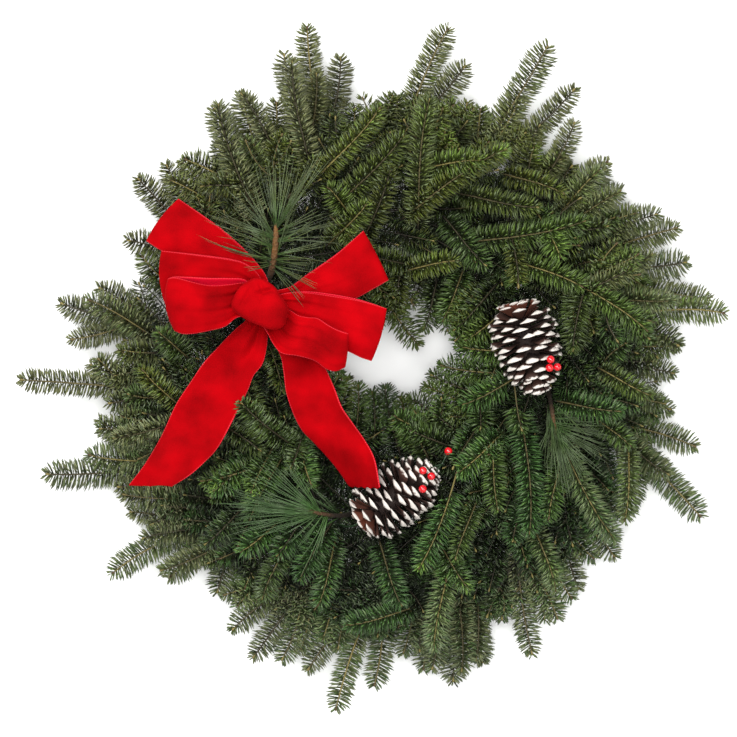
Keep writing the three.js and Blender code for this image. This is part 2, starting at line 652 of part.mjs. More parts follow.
// The wire's section stands square to the bisector at each bend; aside is never along the wire
function wireGeometry(owner, route, aside) {
  const rings = route.map((at, i) => {
    const along = route[Math.min(i + 1, route.length - 1)].clone().sub(route[Math.max(i - 1, 0)]).normalize();
    const up = along.clone().cross(aside).normalize();
    const side = up.clone().cross(along);
    return Array.from({ length: PICK_SIDES }, (_, k) => {
      const turn = (k * 2 * Math.PI) / PICK_SIDES;
      return at.clone().addScaledVector(side, PICK_RADIUS * Math.cos(turn))
        .addScaledVector(up, PICK_RADIUS * Math.sin(turn));
    });
  });
  const triangles = [];
  for (let i = 0; i + 1 < rings.length; i += 1) {
    takeRoom(owner, route[i], route[i + 1], PICK_RADIUS, PICK_RADIUS);
    for (let k = 0; k < PICK_SIDES; k += 1) {
      const a = i * PICK_SIDES + k;
      const b = i * PICK_SIDES + ((k + 1) % PICK_SIDES);
      triangles.push([a, b, b + PICK_SIDES], [a, b + PICK_SIDES, a + PICK_SIDES]);
    }
  }
  const end = (rings.length - 1) * PICK_SIDES;
  for (let k = 1; k + 1 < PICK_SIDES; k += 1) {
    triangles.push([0, k + 1, k], [end, end + k, end + k + 1]);
  }
  return surface(rings.flat(), triangles);
}

// Berries: each is turned in one piece with its thin stem, which runs to the knee they share
const BERRY_PROFILE = [[0, 3.5], [2.5, 2.4], [3.5, 0], [2.5, -2.4], [0.8, -3.3]];

function stemmed(profile, from, to) {
  const along = from.clone().sub(to);
  const outline = [...profile, [0.8, -along.length()], [0, -along.length()]];
  const piece = new THREE.LatheGeometry(outline.map(([r, y]) => new THREE.Vector2(r, y)).reverse(), 5);
  piece.applyQuaternion(new THREE.Quaternion().setFromUnitVectors(
    new THREE.Vector3(0, 1, 0),
    along.clone().normalize(),
  ));
  return piece.translate(...from.toArray());
}

function berryGeometry(owner, centres, knee, foot) {
  const pieces = centres.map((centre) => {
    takeRoom(owner, point(centre), point(centre), BERRY_RADIUS, BERRY_RADIUS);
    takeRoom(owner, point(centre), point(knee), BERRY_STEM_RADIUS, BERRY_STEM_RADIUS);
    return stemmed(BERRY_PROFILE, point(centre), point(knee));
  });
  takeRoom(owner, point(knee), point(foot), BERRY_STEM_RADIUS, BERRY_STEM_RADIUS);
  const shank = stemmed([[0, 1], [BERRY_STEM_RADIUS + 0.3, 0.6]], point(knee), point(foot));
  return joined([shank, ...pieces]);
}

// A ribbon: a thin closed solid about rows of points, with its two faces split alike
function ribbonGeometry(owner, rows) {
  const across = rows[0].length;
  const normals = rows.map((row, i) => row.map((_, j) => {
    const along = rows[Math.min(i + 1, rows.length - 1)][j].clone().sub(rows[Math.max(i - 1, 0)][j]);
    const aside = row[Math.min(j + 1, across - 1)].clone().sub(row[Math.max(j - 1, 0)]);
    return along.cross(aside).normalize();
  }));
  const points = [1, -1].flatMap((face) => rows.flatMap((row, i) => row.map((at, j) => (
    at.clone().addScaledVector(normals[i][j], (face * RIBBON_THICKNESS) / 2)
  ))));
  const under = rows.length * across;
  const triangles = [];
  const quad = (a, b, c, d) => triangles.push([a, b, c], [a, c, d]);
  for (let i = 0; i + 1 < rows.length; i += 1) {
    for (let j = 0; j + 1 < across; j += 1) {
      const [a, b] = [i * across + j, (i + 1) * across + j];
      quad(a, b, b + 1, a + 1);
      triangles.push([under + a, under + b + 1, under + b], [under + a, under + a + 1, under + b + 1]);
    }
    const [a, b] = [i * across, (i + 1) * across];
    const [c, d] = [a + across - 1, b + across - 1];
    quad(a, under + a, under + b, b);
    quad(c, d, under + d, under + c);
  }
  for (let j = 0; j + 1 < across; j += 1) {
    const end = (rows.length - 1) * across + j;
    quad(j, j + 1, under + j + 1, under + j);
    quad(end, under + end, under + end + 1, end + 1);
  }
  for (let i = 0; i + 1 < rows.length; i += 1) {
    for (const share of [0, 0.5]) {
      for (let j = 0; j + 1 < across; j += 1) {
        const a = rows[i][j].clone().lerp(rows[i + 1][j], share);
        const b = rows[i][j + 1].clone().lerp(rows[i + 1][j + 1], share);
        takeRoom(owner, a, b, 2.6, 2.6);
      }
    }
  }
  return surface(points, triangles);
}

// A loop runs out of the knot over its top layer and back below. Its width grows from the pinch
const LOOP_ROWS = 12;
const LOOP_COLUMNS = 2;

function loopGeometry({ heading, length, level, rise, depth, skew }) {
  const out = headed(heading);
  const aside = headed(heading - 90);
  const rows = Array.from({ length: LOOP_ROWS + 1 }, (_, i) => {
    const share = i / LOOP_ROWS;
    const run = Math.sin(Math.PI * share);
    const half = (PINCH_WIDTH + (RIBBON_WIDTH - PINCH_WIDTH) * run ** 0.75) / 2;
    const apart = depth * Math.cos(Math.PI * share) * run ** 1.6 + 1.6 * Math.cos(Math.PI * share);
    return Array.from({ length: LOOP_COLUMNS + 1 }, (__, j) => {
      const v = (2 * j) / LOOP_COLUMNS - 1;
      const reach = PINCH + (length - PINCH) * run + skew * v * half * run;
      return new THREE.Vector3(KNOT[0], KNOT[1], level + rise * run + apart)
        .addScaledVector(out, reach)
        .addScaledVector(aside, v * half);
    });
  });
  return ribbonGeometry('bow', rows);
}

// A tail lies over the foliage along its route, rolled about its own line by the given angles
const TAIL_ROWS = 12;
const TAIL_COLUMNS = 2;

function tailGeometry({ route, roll }) {
  const curve = new THREE.CatmullRomCurve3(route.map(point), false, 'centripetal');
  const rows = Array.from({ length: TAIL_ROWS + 1 }, (_, i) => {
    const share = i / TAIL_ROWS;
    const centre = curve.getPointAt(share);
    const along = curve.getTangentAt(share);
    const place = share * (roll.length - 1);
    const step = Math.min(Math.floor(place), roll.length - 2);
    const turn = THREE.MathUtils.lerp(roll[step], roll[step + 1], place - step) * DEGREE;
    const aside = along.clone().cross(UP).normalize().applyAxisAngle(along, turn);
    const half = THREE.MathUtils.lerp(PINCH_WIDTH, RIBBON_WIDTH, Math.min(1, share * 3.2) ** 0.8) / 2;
    return Array.from({ length: TAIL_COLUMNS + 1 }, (__, j) => {
      const v = (2 * j) / TAIL_COLUMNS - 1;
      return centre.clone().addScaledVector(aside, v * half);
    });
  });
  return ribbonGeometry('bow', rows);
}

function knotGeometry() {
  const knot = new THREE.SphereGeometry(1, 12, 8);
  knot.scale(...KNOT_SIZE);
  knot.rotateZ(KNOT_TURN * DEGREE);
  knot.translate(...KNOT);
  takeRoom('bow', point(KNOT), point(KNOT), 24, 24);
  return knot;
}

function material(color, roughness, metalness = 0) {
  return new THREE.MeshStandardMaterial({ color, roughness, metalness });
}

const MATERIALS = {
  wire: material('#3c4136', 0.45, 0.8),
  fir: material('#2f5230', 0.6),
  pine: material('#4f7a4c', 0.55),
  cone: material('#4a2c1a', 0.8),
  berry: material('#c8101c', 0.25),
  velvet: material('#c40814', 0.9),
};

const wreath = new THREE.Group();

function addPiece(name, geometry, surfaceMaterial) {
  const mesh = new THREE.Mesh(geometry, surfaceMaterial);
  mesh.name = name;
  wreath.add(mesh);
}

// Everything with a fixed place takes its room first, so that needles bend clear of it
addPiece('wire_ring', ringGeometry(), MATERIALS.wire);
LOOPS.forEach((loop) => addPiece(`bow_loop_${loop.name}`, loopGeometry(loop), MATERIALS.velvet));
TAILS.forEach((tail) => addPiece(`bow_tail_${tail.name}`, tailGeometry(tail), MATERIALS.velvet));
addPiece('bow_knot', knotGeometry(), MATERIALS.velvet);
CONES.forEach((cone, i) => wreath.add(coneMesh(cone, i, MATERIALS.cone)));

addPiece('bow_tie_wire', wireGeometry('tie', [
  point([-114.4, 53.7, 110.8]), point([-114.2, 53.6, 70]), point([-113.4, 53.1, 30]),
  ...hookRoute(INNER_RAIL, 154.9),
], headed(154.9 + 90)), MATERIALS.wire);
addPiece('cone_pick_1', wireGeometry('pick1', [
  point([109.05, 52.15, 72]), point([108.2, 55.4, 71]), point([107.2, 58.4, 66]), point([107.4, 58.6, 45]),
  point([111, 55.2, 24]), ...hookRoute(INNER_RAIL, 25.7),
], headed(25.7 + 90)), MATERIALS.wire);
addPiece('cone_pick_2', wireGeometry('pick2', [
  point([-26.05, -135.65, 66]), point([-29, -137.8, 65]), point([-34, -140.6, 60]), point([-42, -141.5, 42]),
  point([-49, -139.6, 22]), ...hookRoute(OUTER_RAIL, -110),
], headed(-110 + 90)), MATERIALS.wire);
addPiece('berries_1', berryGeometry('berries1', [
  [138.6, 5.7, 97], [137.7, -1.6, 95], [144.6, -0.9, 92],
], [147, -5, 84], [149, -8, 70]), MATERIALS.berry);
addPiece('berries_2', berryGeometry('berries2', [
  [27, -91.6, 88], [34.4, -96.6, 86], [26.8, -107.6, 94], [49.5, -74.8, 72],
], [44, -86, 70], [46, -88, 56]), MATERIALS.berry);

const pines = PINE_ROUTES.map(pineSpray);
const firs = [
  ...OUTER_BRANCHES.map((_, i) => outerBranch(i)),
  ...FACE_BRANCHES.map(faceBranch),
  ...INNER_BRANCHES.map(innerBranch),
];
pines.forEach(({ name, twigs }) => addPiece(name, joined(twigs.map(growTwig)), MATERIALS.pine));
firs.forEach(({ name, twigs }) => addPiece(name, joined(twigs.map(growTwig)), MATERIALS.fir));

// The origin goes under the middle of the wreath's box
wreath.updateMatrixWorld(true);
const box = new THREE.Box3().setFromObject(wreath);
wreath.position.set(-(box.min.x + box.max.x) / 2, -(box.min.y + box.max.y) / 2, 0);

export default wreath;
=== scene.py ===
"""A fresh evergreen wreath on its back: balsam fir round a wire ring, with white pine, two
white-tipped cones, red berries and a red velvet bow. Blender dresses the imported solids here.
Lengths are millimetres from the middle of the ring, and the meshes are moved into the frame."""
import math

import bpy
import numpy as np
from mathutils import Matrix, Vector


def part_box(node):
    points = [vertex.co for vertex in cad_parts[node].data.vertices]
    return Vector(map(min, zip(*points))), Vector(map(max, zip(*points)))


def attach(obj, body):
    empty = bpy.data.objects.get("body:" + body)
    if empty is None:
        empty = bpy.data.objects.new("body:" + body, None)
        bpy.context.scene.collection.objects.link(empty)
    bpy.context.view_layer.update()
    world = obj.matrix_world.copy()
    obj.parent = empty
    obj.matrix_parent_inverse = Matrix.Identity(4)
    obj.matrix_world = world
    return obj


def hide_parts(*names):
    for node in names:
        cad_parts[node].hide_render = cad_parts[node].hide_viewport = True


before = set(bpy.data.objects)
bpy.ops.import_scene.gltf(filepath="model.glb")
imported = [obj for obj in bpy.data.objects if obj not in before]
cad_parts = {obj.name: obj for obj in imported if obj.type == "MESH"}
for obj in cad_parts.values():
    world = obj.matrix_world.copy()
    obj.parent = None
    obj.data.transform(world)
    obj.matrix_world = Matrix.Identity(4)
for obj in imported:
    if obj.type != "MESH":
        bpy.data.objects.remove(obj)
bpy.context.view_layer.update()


# The view
# The wreath lies on a plain pale floor, lit by three large soft lamps and a pale surround. The
# photograph looks straight at its face, so the camera looks straight down from far above.
PHOTO_SIDE = 737
MM_PER_PIXEL = 0.88
RING_PIXEL = np.array([392.0, 366.0])
CAMERA_HEIGHT = 6000.0
CAMERA_AIM_HEIGHT = 60.0
CAMERA_REACH = 50.0
SENSOR = 36.0
FLOOR_HALF = 6.0
FLOOR_CLOUD = 1 / 3
SURROUND_STRENGTH = 0.5

ring_low, ring_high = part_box("wire_ring")
RING_CENTRE = np.array([(ring_low.x + ring_high.x) / 2, (ring_low.y + ring_high.y) / 2, 0.0]) * 1000


def from_photo(pixels):
    """Pixels of the photograph as millimetres from the ring's middle: right, and up, which is +Y."""
    offset = (np.asarray(pixels, float) - RING_PIXEL) * MM_PER_PIXEL
    return offset * [1, -1]


def in_frame(points):
    """Millimetres from the ring's middle as metres in the frame."""
    return (np.asarray(points, float) + RING_CENTRE) / 1000


def linear(colour):
    """An sRGB hex colour as linear red, green and blue, with full alpha."""
    channels = np.array([int(colour[i:i + 2], 16) / 255 for i in (1, 3, 5)])
    light = np.where(channels <= 0.04045, channels / 12.92, ((channels + 0.055) / 1.055) ** 2.4)
    return (*(float(value) for value in light), 1.0)


def add_node(material, kind, inputs=None, **settings):
    """Adds a shader node with its settings. An input is linked to a socket or given a value."""
    node = material.node_tree.nodes.new(kind)
    for name, value in settings.items():
        setattr(node, name, value)
    for name, value in (inputs or {}).items():
        if isinstance(value, bpy.types.NodeSocket):
            material.node_tree.links.new(node.inputs[name], value)
        else:
            node.inputs[name].default_value = value
    return node


def new_material(name):
    """An empty material, ready for its nodes."""
    material = bpy.data.materials.new(name)
    material.use_nodes = True
    material.node_tree.nodes.clear()
    return material


def close_material(material, looks):
    """Gives the material a Principled shader with these inputs, and hands the material back."""
    shader = add_node(material, "ShaderNodeBsdfPrincipled", looks)
    add_node(material, "ShaderNodeOutputMaterial", {"Surface": shader.outputs[0]})
    return material


def noise(material, size, detail):
    """Cloudy noise from 0 to 1 with features of this size in metres, fixed to the piece."""
    place = add_node(material, "ShaderNodeTexCoord").outputs["Object"]
    return add_node(material, "ShaderNodeTexNoise", {
        "Vector": place, "Scale": 1 / size, "Detail": detail}).outputs["Fac"]


def mixed(material, factor, low, high):
    """A colour between two others, each of which is a socket or an sRGB hex colour."""
    low, high = (linear(colour) if isinstance(colour, str) else colour for colour in (low, high))
    return add_node(material, "ShaderNodeMix", {
        "Factor": factor, 6: low, 7: high}, data_type="RGBA").outputs[2]


def painted_board():
    """Matt pale board: faint clouds a third of a metre across keep the floor from looking empty."""
    material = new_material("painted_board")
    clouds = noise(material, FLOOR_CLOUD, 2.0)
    return close_material(material, {
        "Base Color": mixed(material, clouds, "#f4f4f2", "#f7f7f6"), "Roughness": 0.9})


floor_mesh = bpy.data.meshes.new("floor")
floor_mesh.from_pydata(
    [(-FLOOR_HALF, -FLOOR_HALF, 0), (FLOOR_HALF, -FLOOR_HALF, 0), (FLOOR_HALF, FLOOR_HALF, 0),
     (-FLOOR_HALF, FLOOR_HALF, 0)], [], [(0, 1, 2, 3)])
floor = bpy.data.objects.new("floor", floor_mesh)
bpy.context.scene.collection.objects.link(floor)
floor_mesh.materials.append(painted_board())

SOFT_LAMPS = (
    # name, place in metres, size in metres, power in watts
    ("key_lamp", (-1.3, 1.5, 2.6), 1.5, 94.0),
    ("fill_lamp", (1.7, -1.2, 2.4), 2.0, 38.0),
    ("top_lamp", (0.0, 0.0, 3.2), 1.4, 80.0),
)
for lamp_name, place, size, power in SOFT_LAMPS:
    lamp_data = bpy.data.lights.new(lamp_name, "AREA")
    lamp_data.size = size
    lamp_data.energy = power
    lamp = bpy.data.objects.new(lamp_name, lamp_data)
    lamp.location = place
    lamp.rotation_euler = (-lamp.location).to_track_quat("-Z", "Y").to_euler()
    bpy.context.scene.collection.objects.link(lamp)

world = bpy.data.worlds.new("pale_surround")
world.use_nodes = True
world.node_tree.nodes["Background"].inputs["Color"].default_value = linear("#f2f4f7")
world.node_tree.nodes["Background"].inputs["Strength"].default_value = SURROUND_STRENGTH
bpy.context.scene.world = world
bpy.context.scene.view_settings.view_transform = "Standard"

camera_data = bpy.data.cameras.new("camera")
camera_data.sensor_width = SENSOR
camera_data.lens = SENSOR * (CAMERA_HEIGHT - CAMERA_AIM_HEIGHT) / (PHOTO_SIDE * MM_PER_PIXEL)
camera_data.clip_end = CAMERA_REACH
camera = bpy.data.objects.new("camera", camera_data)
camera.location = in_frame([*from_photo([PHOTO_SIDE / 2, PHOTO_SIDE / 2]), CAMERA_HEIGHT])
bpy.context.scene.collection.objects.link(camera)
bpy.context.scene.camera = camera


# The wire ring
# Two round hoops and eighteen clamps across them, of steel wire, welded and dipped in dark green
# enamel. The clamps are bent closed over the cut ends of the branches. The wire's section is nearly
# square here, as in the solid that it covers.
WIRE = 3.2
WIRE_POWER = 5
WELD = 0.3
RAIL_RADII = (128.0, 152.0)
RAIL_STEPS = 180
CLAMP_ANGLES = 182.0 - 20.0 * np.arange(18)
CLAMP_INSIDE = 121.4
CLAMP_OUTSIDE = 158.6
CLAMP_OPENING = 9.0
CLAMP_STEPS = 44
CLAMP_POWER = 14
CORNER_CROWDING = 0.08


def make_piece(name, points, face_groups, materials, nodes=(), face_material=None,
               attributes=None):
    """Puts arrays of points (millimetres) and of faces (each group has one number of corners) in a
    mesh, and makes it a piece of the wreath that stands for the given CAD nodes."""
    mesh = bpy.data.meshes.new(name)
    corners = np.concatenate([np.full(len(group), group.shape[1]) for group in face_groups])
    mesh.vertices.add(len(points))
    mesh.vertices.foreach_set("co", in_frame(points).astype(np.float32).ravel())
    mesh.loops.add(int(corners.sum()))
    mesh.loops.foreach_set(
        "vertex_index", np.concatenate([group.ravel() for group in face_groups]).astype(np.int32))
    mesh.polygons.add(len(corners))
    mesh.polygons.foreach_set(
        "loop_start", np.concatenate([[0], np.cumsum(corners)[:-1]]).astype(np.int32))
    if face_material is not None:
        mesh.polygons.foreach_set("material_index", np.asarray(face_material, np.int32))
    for attribute, values in (attributes or {}).items():
        mesh.attributes.new(attribute, "FLOAT", "POINT").data.foreach_set(
            "value", np.asarray(values, np.float32))
    for material in materials:
        mesh.materials.append(material)
    mesh.update(calc_edges=True)
    mesh.polygons.foreach_set("use_smooth", np.full(len(corners), True))
    piece = bpy.data.objects.new(name, mesh)
    bpy.context.scene.collection.objects.link(piece)
    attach(piece, "root")
    if nodes:
        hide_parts(*nodes)
    return piece


def turned(radius, degrees, height=0.0):
    """Points at the given radii, angles and heights about the ring's axis."""
    angle = np.radians(degrees)
    return np.stack(np.broadcast_arrays(radius * np.cos(angle), radius * np.sin(angle), height), axis=-1)


def grid_faces(rows, columns, wrap_rows=False, wrap_columns=False):
    """Quads of a grid of points, row by row. A wrapped direction joins its last line to its first."""
    i = np.arange(rows if wrap_rows else rows - 1)[:, None]
    j = np.arange(columns if wrap_columns else columns - 1)[None, :]
    here, right = i * columns + j, i * columns + (j + 1) % columns
    below, both = ((i + 1) % rows) * columns + j, ((i + 1) % rows) * columns + (j + 1) % columns
    return np.stack([here, below, both, right], axis=-1).reshape(-1, 4)


def wire_section(count):
    """The wire's section as a square with rounded corners: |x|^5 + |y|^5 = (half the wire)^5."""
    angle = np.arange(count) * 2 * np.pi / count
    x, y = np.cos(angle), np.sin(angle)
    scale = WIRE / 2 / (np.abs(x) ** WIRE_POWER + np.abs(y) ** WIRE_POWER) ** (1 / WIRE_POWER)
    return np.stack([x * scale, y * scale], axis=1)


def rail_surface(radius):
    """The wire's section, (across, up), carried round a circle of the rail's radius."""
    section = wire_section(12)
    angle = np.linspace(0, 360, RAIL_STEPS, endpoint=False)[:, None]
    height = WIRE - WELD + WIRE / 2 + section[None, :, 1]
    points = turned(radius + section[None, :, 0], angle, height).reshape(-1, 3)
    return points, grid_faces(RAIL_STEPS, len(section), True, True)


def clamp_surface(degrees):
    """The wire's section carried round a rectangle with rounded corners, which stands across the
    ring: superellipse |r|^14 + |z|^14 = 1, stretched to the clamp's width and height. The steps are
    moved by the sine of four times their angle, which crowds them at the corners."""
    section = wire_section(8)
    turn = np.linspace(0, 2 * np.pi, CLAMP_STEPS, endpoint=False)
    turn = turn - CORNER_CROWDING * np.sin(4 * turn)
    x, y = np.cos(turn), np.sin(turn)
    reach = (np.abs(x) ** CLAMP_POWER + np.abs(y) ** CLAMP_POWER) ** (-1 / CLAMP_POWER)
    half_width = (CLAMP_OUTSIDE - CLAMP_INSIDE + WIRE) / 2
    half_height = (CLAMP_OPENING + WIRE) / 2
    middle = np.stack([x * reach * half_width, y * reach * half_height], axis=1)
    outward = np.stack([np.sign(side) * np.abs(side * reach) ** (CLAMP_POWER - 1) for side in (x, y)], axis=1)
    outward /= np.linalg.norm(outward, axis=1, keepdims=True)
    flat = middle[:, None, :] + outward[:, None, :] * section[None, :, :1]
    radial = (CLAMP_INSIDE + CLAMP_OUTSIDE) / 2 + flat[..., 0]
    height = half_height + WIRE / 2 + flat[..., 1]
    points = turned(radial, degrees, height)
    points = points + turned(1.0, degrees + 90) * section[None, :, 1:]
    return points.reshape(-1, 3), grid_faces(len(turn), len(section), True, True)[:, ::-1]


def gathered(surfaces):
    """Joins (points, faces) pairs into one list of points and one array of faces."""
    points, faces, start = [], [], 0
    for surface_points, surface_faces in surfaces:
        points.append(surface_points)
        faces.append(surface_faces + start)
        start += len(surface_points)
    return np.concatenate(points), np.concatenate(faces)


def reranged(material, value, come, go=(0.0, 1.0)):
    """The value, carried over from the range come to the range go and kept inside it."""
    return add_node(material, "ShaderNodeMapRange", {
        "Value": value, "From Min": come[0], "From Max": come[1],
        "To Min": go[0], "To Max": go[1]}).outputs["Result"]


def bumped(material, height, strength, distance):
    """The direction of a surface with bumps after the height, this distance high in metres."""
    return add_node(material, "ShaderNodeBump", {
        "Height": height, "Strength": strength, "Distance": distance}).outputs["Normal"]


def enamelled_wire():
    """Dipped green enamel on steel: dark, half glossy, with runs 6 mm long, and rust-brown and dull
    where it is rubbed, in patches 18 mm across."""
    material = new_material("enamelled_wire")
    runs = noise(material, 0.006, 3.0)
    worn = reranged(material, noise(material, 0.018, 5.0), (0.6, 0.72))
    coat = mixed(material, runs, "#1f2f1e", "#2d4229")
    return close_material(material, {
        "Base Color": mixed(material, worn, coat, "#57452f"),
        "Roughness": reranged(material, worn, (0.0, 1.0), (0.34, 0.72)),
        "Normal": bumped(material, runs, 0.25, 0.0004)})


WIRE_ENAMEL = enamelled_wire()
ring_points, ring_faces = gathered(
    [rail_surface(radius) for radius in RAIL_RADII] + [clamp_surface(angle) for angle in CLAMP_ANGLES])
make_piece("ring_of_wire", ring_points, [ring_faces], [WIRE_ENAMEL], ["wire_ring"])


# The bow's ribbon
# Red velvet ribbon 50 mm wide: a short dense pile on a woven back, with a stitched edge on both
# sides. Three loops a side and two tails are drawn together under one knot.
RIBBON_WIDTH = 50.0
RIBBON_THICKNESS = 1.0
RIBBON_COLUMNS = 31
LOOP_ROWS = 97
TAIL_ROWS = 110
STITCH = 2.2
EDGE_READINGS = 200
STRETCH_STEPS = 30
UP = np.array([0.0, 0.0, 1.0])
LOOPS = {
    # pixels along the upper and the lower edge, from the knot to the fold; then in millimetres the
    # level, rise and depth of the solid, how far the lower edge dips, how far the front layer sags
    # off the back one, how far the fold bulges, and the crease's size
    "right_upper": (
        [(268, 292), (289, 288), (306, 276), (336, 255), (363, 232)],
        [(274, 309), (310, 304), (340, 302), (355, 299), (372, 290), (388, 281)],
        (98.9, 2, 9), (0, 1, 1, 1.6)),
    "right_middle": (
        [(272, 297), (290, 293), (308, 292), (327, 294), (355, 299), (372, 304), (386, 309)],
        [(268, 316), (300, 333), (330, 346), (347, 351), (362, 358), (371, 361)],
        (104, 10, 10), (3, 2, 2, 2.2)),
    "right_front": (
        [(276, 303), (293, 312), (299, 316), (308, 318), (318, 319), (329, 326), (339, 331), (348, 334)],
        [(258, 318), (268, 333), (274, 344), (282, 353), (299, 356), (316, 361), (327, 369), (336, 371),
         (345, 367)],
        (109.1, 21, 14), (9, 0, 1, 2.6)),
    "left_upper": (
        [(272, 292), (266, 275), (253, 258), (240, 245), (223, 230), (205, 217), (180, 200)],
        [(256, 306), (235, 292), (205, 273), (180, 259), (162, 251), (148, 242)],
        (98.9, -4, 9), (0, 1, 2.5, 1.6)),
    "left_middle": (
        [(265, 292), (260, 276), (246, 264), (233, 260), (195, 255), (164, 252)],
        [(252, 310), (235, 309), (205, 309), (183, 307), (167, 304)],
        (104, 10, 10), (3, 1, 3.5, 2.0)),
    "left_front": (
        [(256, 296), (247, 281), (230, 279), (210, 279), (190, 278), (176, 278), (171, 280)],
        [(252, 316), (238, 318), (226, 327), (211, 331), (195, 334), (184, 334), (177, 331)],
        (109.1, 22, 16), (6, 8, 5, 2.4)),
}
TAILS = {
    # pixels along the left and the right edge, heights of the middle, and by how many degrees the
    # ribbon rolls, which lowers its left edge
    "left": (
        [(250, 312), (246, 321), (238, 328), (220, 346), (205, 362), (190, 384), (177, 404), (161, 438),
         (146, 463), (129, 485)],
        [(268, 318), (268, 333), (267, 348), (263, 364), (254, 376), (249, 389), (236, 415), (218, 448),
         (205, 462), (190, 475), (171, 487)],
        [93.3, 92, 90, 88, 87, 84, 78, 70], [0, 0, 0, 6, 18, 26, 22, 14]),
    "right": (
        [(262, 318), (271, 336), (281, 356), (284, 372), (287, 394), (301, 428), (314, 442), (327, 456),
         (340, 472), (350, 487)],
        [(278, 312), (300, 330), (316, 350), (327, 371), (335, 389), (342, 407), (353, 423), (365, 440),
         (374, 457), (380, 488)],
        [95.3, 94, 92, 91, 92, 92, 93, 94, 94], [0, 0, 0, 4, 14, 26, 38, 48, 54]),
}


def unit(vectors):
    """Each vector divided by its length."""
    return vectors / np.maximum(np.linalg.norm(vectors, axis=-1, keepdims=True), 1e-9)


def read_at(wanted, places, line):
    """The line's points at the wanted places, read straight between the places where it has them."""
    return np.stack([np.interp(wanted, places, column) for column in line.T], axis=-1)


def running_length(line):
    """How far along a line of points each of them is."""
    return np.concatenate([[0], np.cumsum(np.linalg.norm(np.diff(line, axis=0), axis=1))])


def evenly(line, count):
    """Reads a line of points off again at equal steps of its length."""
    length = running_length(line)
    return read_at(np.linspace(0, length[-1], count), length, line)


def route_line(route, count):
    """Points at equal steps of length along a centripetal Catmull-Rom curve through the route: each
    stretch is a cubic whose end slopes come from its neighbours, timed by the root of their distance."""
    route = np.asarray(route, float)
    padded = np.concatenate([[2 * route[0] - route[1]], route, [2 * route[-1] - route[-2]]])
    share = np.linspace(0, 1, STRETCH_STEPS)[:, None]
    stretches = []
    for p0, p1, p2, p3 in zip(padded, padded[1:], padded[2:], padded[3:]):
        d0, d1, d2 = (np.sqrt(np.linalg.norm(b - a)) for a, b in ((p0, p1), (p1, p2), (p2, p3)))
        leave = ((p1 - p0) / d0 - (p2 - p0) / (d0 + d1) + (p2 - p1) / d1) * d1
        arrive = ((p2 - p1) / d1 - (p3 - p1) / (d1 + d2) + (p3 - p2) / d2) * d1
        square = -3 * p1 + 3 * p2 - 2 * leave - arrive
        cube = 2 * p1 - 2 * p2 + leave + arrive
        stretches.append(p1 + share * (leave + share * (square + share * cube)))
    return evenly(np.concatenate(stretches), count)


def edge_at(pixels, share):
    """Points on the smooth line through pixels, at an array of shares of its length."""
    line = route_line(from_photo(pixels), EDGE_READINGS)
    return read_at(share, np.linspace(0, 1, EDGE_READINGS), line)


def ribbon_surface(rows, thickness):
    """A closed sheet about rows of points: each point is moved half the thickness along the cross
    product of the ribbon's two directions, forward for the pile and back for the woven side."""
    normal = unit(np.cross(np.gradient(rows, axis=0), np.gradient(rows, axis=1)))
    count, across = rows.shape[:2]
    points = np.concatenate([
        (rows + normal * thickness / 2).reshape(-1, 3), (rows - normal * thickness / 2).reshape(-1, 3)])
    face = grid_faces(count, across)
    under = face[:, ::-1] + count * across
    first = np.arange(count) * across
    start = np.arange(across)
    rims = []
    for line, flip in ((first, True), (first + across - 1, False), (start, False),
                       (start + (count - 1) * across, True)):
        quad = np.stack([line[:-1], line[1:], line[1:] + count * across, line[:-1] + count * across], axis=1)
        rims.append(quad[:, ::-1] if flip else quad)
    return points, np.concatenate([face, under, *rims])


def loop_rows(upper, lower, heights, form):
    """Rows across a loop. With t from 0 to 1 along the ribbon and run = sin(pi t), the two edges are
    read at run, once on the way out and once on the way back. The front layer's upper edge sags by
    gape * sin(pi run^1.3), and the layers part by depth * cos(pi t) * run^1.6, more in the middle of
    the ribbon. The fold bulges outwards by bulge * (1 - v^2) * run^6. Two sets of gathers, 3.6 and 6.3
    half waves across, fade out with distance from the knot as exp(-3 run), and slow waves take their
    place."""
    level, rise, depth = heights
    dip, gape, bulge, crease = form
    t = np.linspace(0, 1, LOOP_ROWS)[:, None]
    v = np.linspace(-1, 1, RIBBON_COLUMNS)[None, :]
    fold = LOOP_ROWS // 2
    run = np.sin(np.pi * t) * np.ones_like(v)
    layer = np.cos(np.pi * t)
    top, bottom = edge_at(upper, run), edge_at(lower, run)
    flat = top * ((1 - v) / 2)[..., None] + bottom * ((1 + v) / 2)[..., None]
    out = unit((flat[fold] - flat[0]).mean(axis=0))
    aside = unit((bottom - top)[fold].mean(axis=0))
    sag = gape * np.sin(np.pi * run ** 1.3) * np.maximum(layer, 0) * (1 - v) / 2
    flat = flat + out * (bulge * (1 - v ** 2) * run ** 6)[..., None] + aside * sag[..., None]
    gathers = crease * (np.cos(3.6 * np.pi * v + 1.3 * layer) + 0.5 * np.cos(6.3 * np.pi * v))
    gathers = gathers * np.exp(-run * 3.0) * np.clip(run * 8, 0, 1)
    waves = 1.3 * crease * np.sin(2.6 * v + 4.5 * run * layer + level) * run * (1.15 - run)
    plump = 0.6 + 0.55 * (1 - v ** 2)
    height = (level + rise * run + depth * plump * layer * run ** 1.6 + 1.6 * layer + gathers + waves
              - dip * v * run * (0.4 + 0.6 * run))
    return np.concatenate([flat, height[..., None]], axis=-1)


